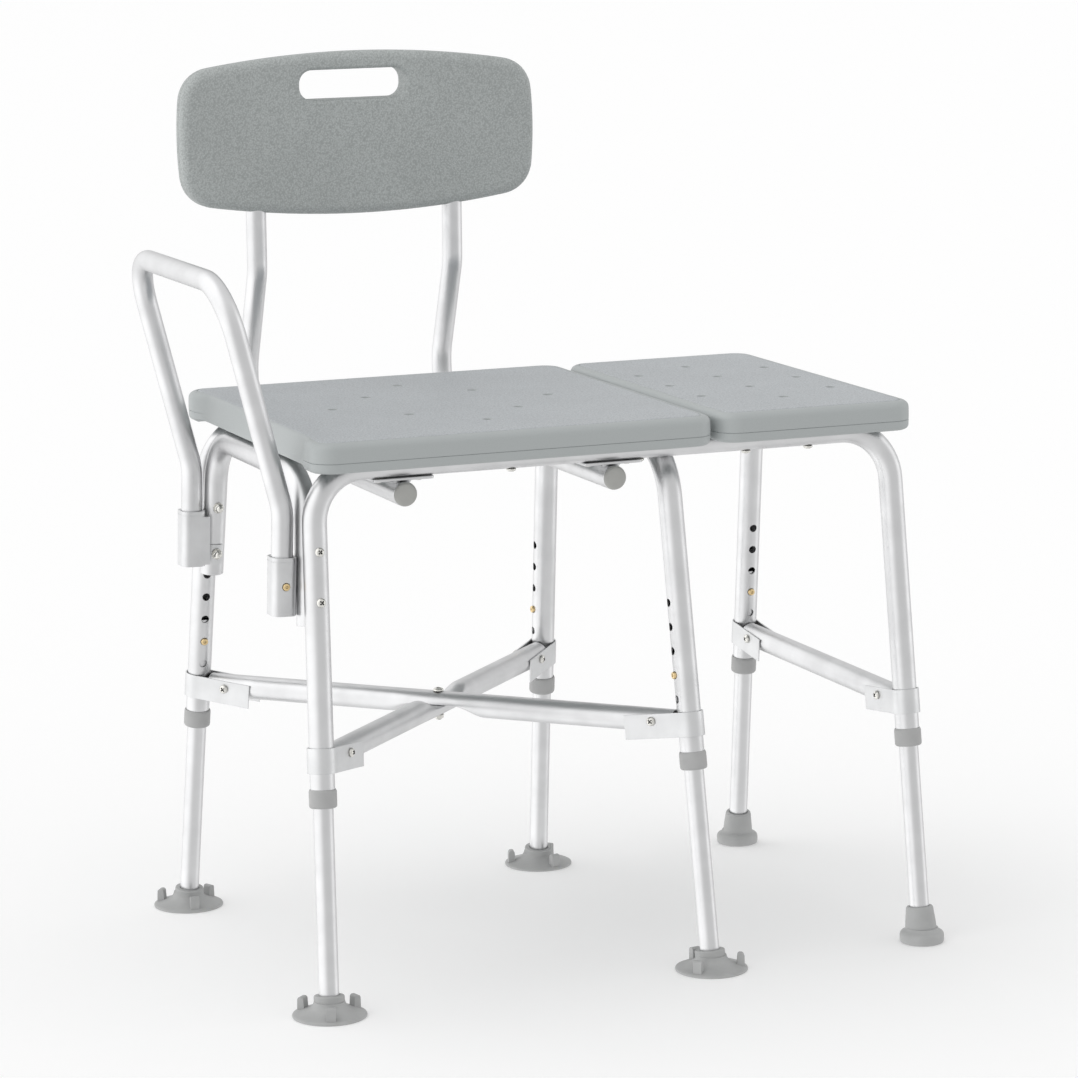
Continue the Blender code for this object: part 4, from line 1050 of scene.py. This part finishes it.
def arm_rail():
    corners = [arm_axis_point(-1, ARM_END_Z), arm_axis_point(-1, ARM_KNEE_Z), ARM_TOP - Y * ARM_Y,
               ARM_TOP + Y * ARM_Y, arm_axis_point(1, ARM_KNEE_Z), arm_axis_point(1, ARM_END_Z)]
    path = [corners[0]]
    for i, steps in ((1, 8), (2, 14), (3, 14), (4, 8)):
        radius = ARM_CORNER if i in (2, 3) else 0.070
        path += rounded_path(corners[i - 1:i + 2], (radius,), steps)[1:-1]
    path.append(corners[-1])
    stops = [ARM_BUTTON_Z - ARM_END_Z + d for d in (-0.007, 0.007)]
    rail = piece("arm_rail", tube("arm_rail", with_stops(path, stops), SLIM_R, SLIM_WALL), "tube", "arm",
                 nodes=("arm_rail",))
    for row, sign in (("front", -1), ("rear", 1)):
        lean = Vector((ARM_LEAN, 0, 1)).normalized()
        outward = Vector((0, sign, 0))
        matrix = axes(outward, lean.cross(outward), lean, arm_axis_point(sign, ARM_BUTTON_Z))
        carve(rail, rods("hole", [(Vector((0.004, 0, 0)), Vector((0.016, 0, 0)), 0.0042)]), matrix)
        snap_button("arm_button_" + row, matrix, 0.0, SLIM_R - SLIM_WALL, SOCKET_HALF_Y + 0.0022,
                    "arm_button_" + row)


def socket_outline(grow=0.0):
    return round_rectangle(SOCKET_HALF_X + grow, SOCKET_HALF_Y + grow, 0.0085, 8)


def arm_sockets(legs):
    for row, sign in (("front", -1), ("rear", 1)):
        leg = legs[row + "_left"]
        lean = Vector((ARM_LEAN, 0, 1)).normalized()
        matrix = axes(Y.cross(lean), Y, lean, arm_axis_point(sign, SOCKET_Z[0]))
        height = SOCKET_Z[1] - SOCKET_Z[0]
        name = "arm_socket_" + row
        socket = piece(name, prism(name, socket_outline(), 0, height), "plate", "frame", matrix, (name,),
                       bevel=0.0005)
        web_y = sign * -0.004
        outline = rectangle(0.006, 0.0165, web_y - 0.010, web_y + 0.010)
        carve(socket, prism("web", outline, 0.002, height - 0.006), matrix, "UNION")
        upright = axes(leg.out, leg.up.cross(leg.out), leg.up, side_point(leg, SIDE_BOLTS_S[0]))
        carve(socket, flange(sign), upright, "UNION")
        carve(socket, rods("clear", [(Z * -0.06, Z * 0.08, FRAME_R + 0.0004)], 48), upright)
        carve(socket, rods("bore", [(Z * -0.01, Z * (height + 0.01), SLIM_R + 0.0005)], 48), matrix)
        at = ARM_BUTTON_Z - SOCKET_Z[0]
        carve(socket, rods("window", [(Z * at, Z * at + Y * (sign * 0.03), HOLE_R)]), matrix)
        carve(socket, rods("bolt_hole", [(X * 0.004, X * 0.03, BOLT_HOLE_R)]), upright)
        carve(socket, lip_groove(height), matrix)


def lip_groove(height):
    """A shallow step round the socket just below its mouth."""
    low, high = height - 0.0042, height - 0.0036
    outside, inside = socket_outline(0.002), socket_outline(-0.0003)
    rows = []
    for z, outline in ((low, outside), (low, inside), (high, inside), (high, outside)):
        rows.append([(x, y, z) for x, y in outline])
    return loft("groove", rows, closed=True)


def flange(sign):
    inner, outer = FRAME_R + 0.0001, FRAME_R + 0.0002 + SHEET
    start, end = -95 * sign, 30 * sign
    outline = arc(0, 0, inner, start, end, 20) + arc(0, 0, outer, end, start, 20)
    return prism("flange", outline, -0.012, 0.010)


# ---------------------------------------------------------------- studio
SWEEP_FLAT, SWEEP_BEND = 40.0, 25.0
HORIZON, ZENITH, NADIR = 0.82, 0.95, 0.95
LOBES = (
    # azimuth and elevation of a soft box, the angle it fills, the angle where it fades out, strength
    (162, 16, 20, 88, 0.74),
    (-13, 3, 6, 26, 0.60),
)


def sweep():
    """The pale floor, which curves up far behind into a backdrop all round."""
    profile = [(SWEEP_FLAT * k / 8, 0.0) for k in range(1, 8)]
    profile += [(SWEEP_FLAT + SWEEP_BEND * math.sin(math.radians(a)),
                 SWEEP_BEND * (1 - math.cos(math.radians(a)))) for a in range(0, 91, 6)]
    profile.append((SWEEP_FLAT + SWEEP_BEND, 3 * SWEEP_BEND))
    bm = bmesh.new()
    loops = [add(bm, ring(Vector((0, 0, h)), X, Y, r, 96)) for r, h in profile]
    bm.faces.new(loops[0])
    for a, b in zip(loops, loops[1:]):
        bridge(bm, a, b)
    floor = bpy.data.objects.new("studio_floor", done(bm, "studio_floor"))
    bpy.context.scene.collection.objects.link(floor)
    floor.data.shade_smooth()
    m = Nodes("studio_floor", (0.93, 0.93, 0.93), 0.9, 0.0)
    m.set("Specular IOR Level", 0.0)
    m.set("Emission Color", (1, 1, 1, 1))
    m.set("Emission Strength", 0.08)
    floor.data.materials.append(m.mat)
    floor.visible_diffuse = False
    floor.visible_glossy = False


def light_dome():
    """Soft light from all round: an even dome, a broad soft box on the left, a slim one on the right."""
    world = bpy.data.worlds.new("studio")
    bpy.context.scene.world = world
    t = Tree(world)
    coords = t.node("ShaderNodeTexCoord").outputs["Generated"]
    split = t.node("ShaderNodeSeparateXYZ")
    t.link(coords, split.inputs[0])
    height = split.outputs["Z"]
    total = t.math("ADD", t.ramp(height, HORIZON, ZENITH, 0.3, 0.98, "SMOOTHSTEP"),
                   t.ramp(height, NADIR - HORIZON, 0.0, -0.8, 0.0, "SMOOTHSTEP"))
    tall = t.math("MULTIPLY", coords, (1, 1, 0.55), kind="ShaderNodeVectorMath")
    unit = t.math("NORMALIZE", tall, kind="ShaderNodeVectorMath")
    for azimuth, elevation, inner, outer, strength in LOBES:
        az, el = math.radians(azimuth), math.radians(elevation)
        toward = (math.cos(el) * math.cos(az), math.cos(el) * math.sin(az), math.sin(el))
        dot = t.math("DOT_PRODUCT", unit, toward, kind="ShaderNodeVectorMath")
        fades, fills = math.cos(math.radians(outer)), math.cos(math.radians(inner))
        total = t.math("ADD", total, t.ramp(dot, 0.0, strength, fades, fills, "SMOOTHSTEP"))
    background = t.tree.nodes["Background"]
    t.link(total, background.inputs["Strength"])
    background.inputs["Color"].default_value = (1, 1, 1, 1)


def studio():
    sweep()
    light_dome()
    bpy.context.scene.view_settings.view_transform = "Standard"


def camera():
    """The view: 22 degrees to the left of the front, 10 degrees down, from 4.6 m."""
    yaw, pitch, roll = math.radians(22.13), math.radians(-10.32), math.radians(-0.64)
    ahead = Vector((math.sin(yaw) * math.cos(pitch), math.cos(yaw) * math.cos(pitch), math.sin(pitch)))
    right = ahead.cross(Z).normalized()
    up = right.cross(ahead)
    right, up = right * math.cos(roll) + up * math.sin(roll), up * math.cos(roll) - right * math.sin(roll)
    data = bpy.data.cameras.new("camera")
    data.lens = 143.1
    data.sensor_width = 36.0
    data.clip_end = 300.0
    obj = bpy.data.objects.new("camera", data)
    bpy.context.scene.collection.objects.link(obj)
    obj.matrix_world = ROOT @ axes(right, up, -ahead, Vector((-1.3925, -4.193, 1.2505)))
    bpy.context.scene.camera = obj


camera()
studio()
all_legs = make_legs()
frames(all_legs)
for one in all_legs.values():
    leg_hardware(one)
TAB_TURNS = {"front_left": -107, "rear_left": -95, "front_middle": -140, "rear_middle": -75}
for leg_name, turn in TAB_TURNS.items():
    suction_foot(all_legs[leg_name], math.radians(turn))
rubber_tip(all_legs["front_right"])
rubber_tip(all_legs["rear_right"])
side_bolts(all_legs)
braces(all_legs)
seats()
back_rest()
back_supports()
arm_rail()
arm_sockets(all_legs)
finish_pieces()

bpy.context.view_layer.update()
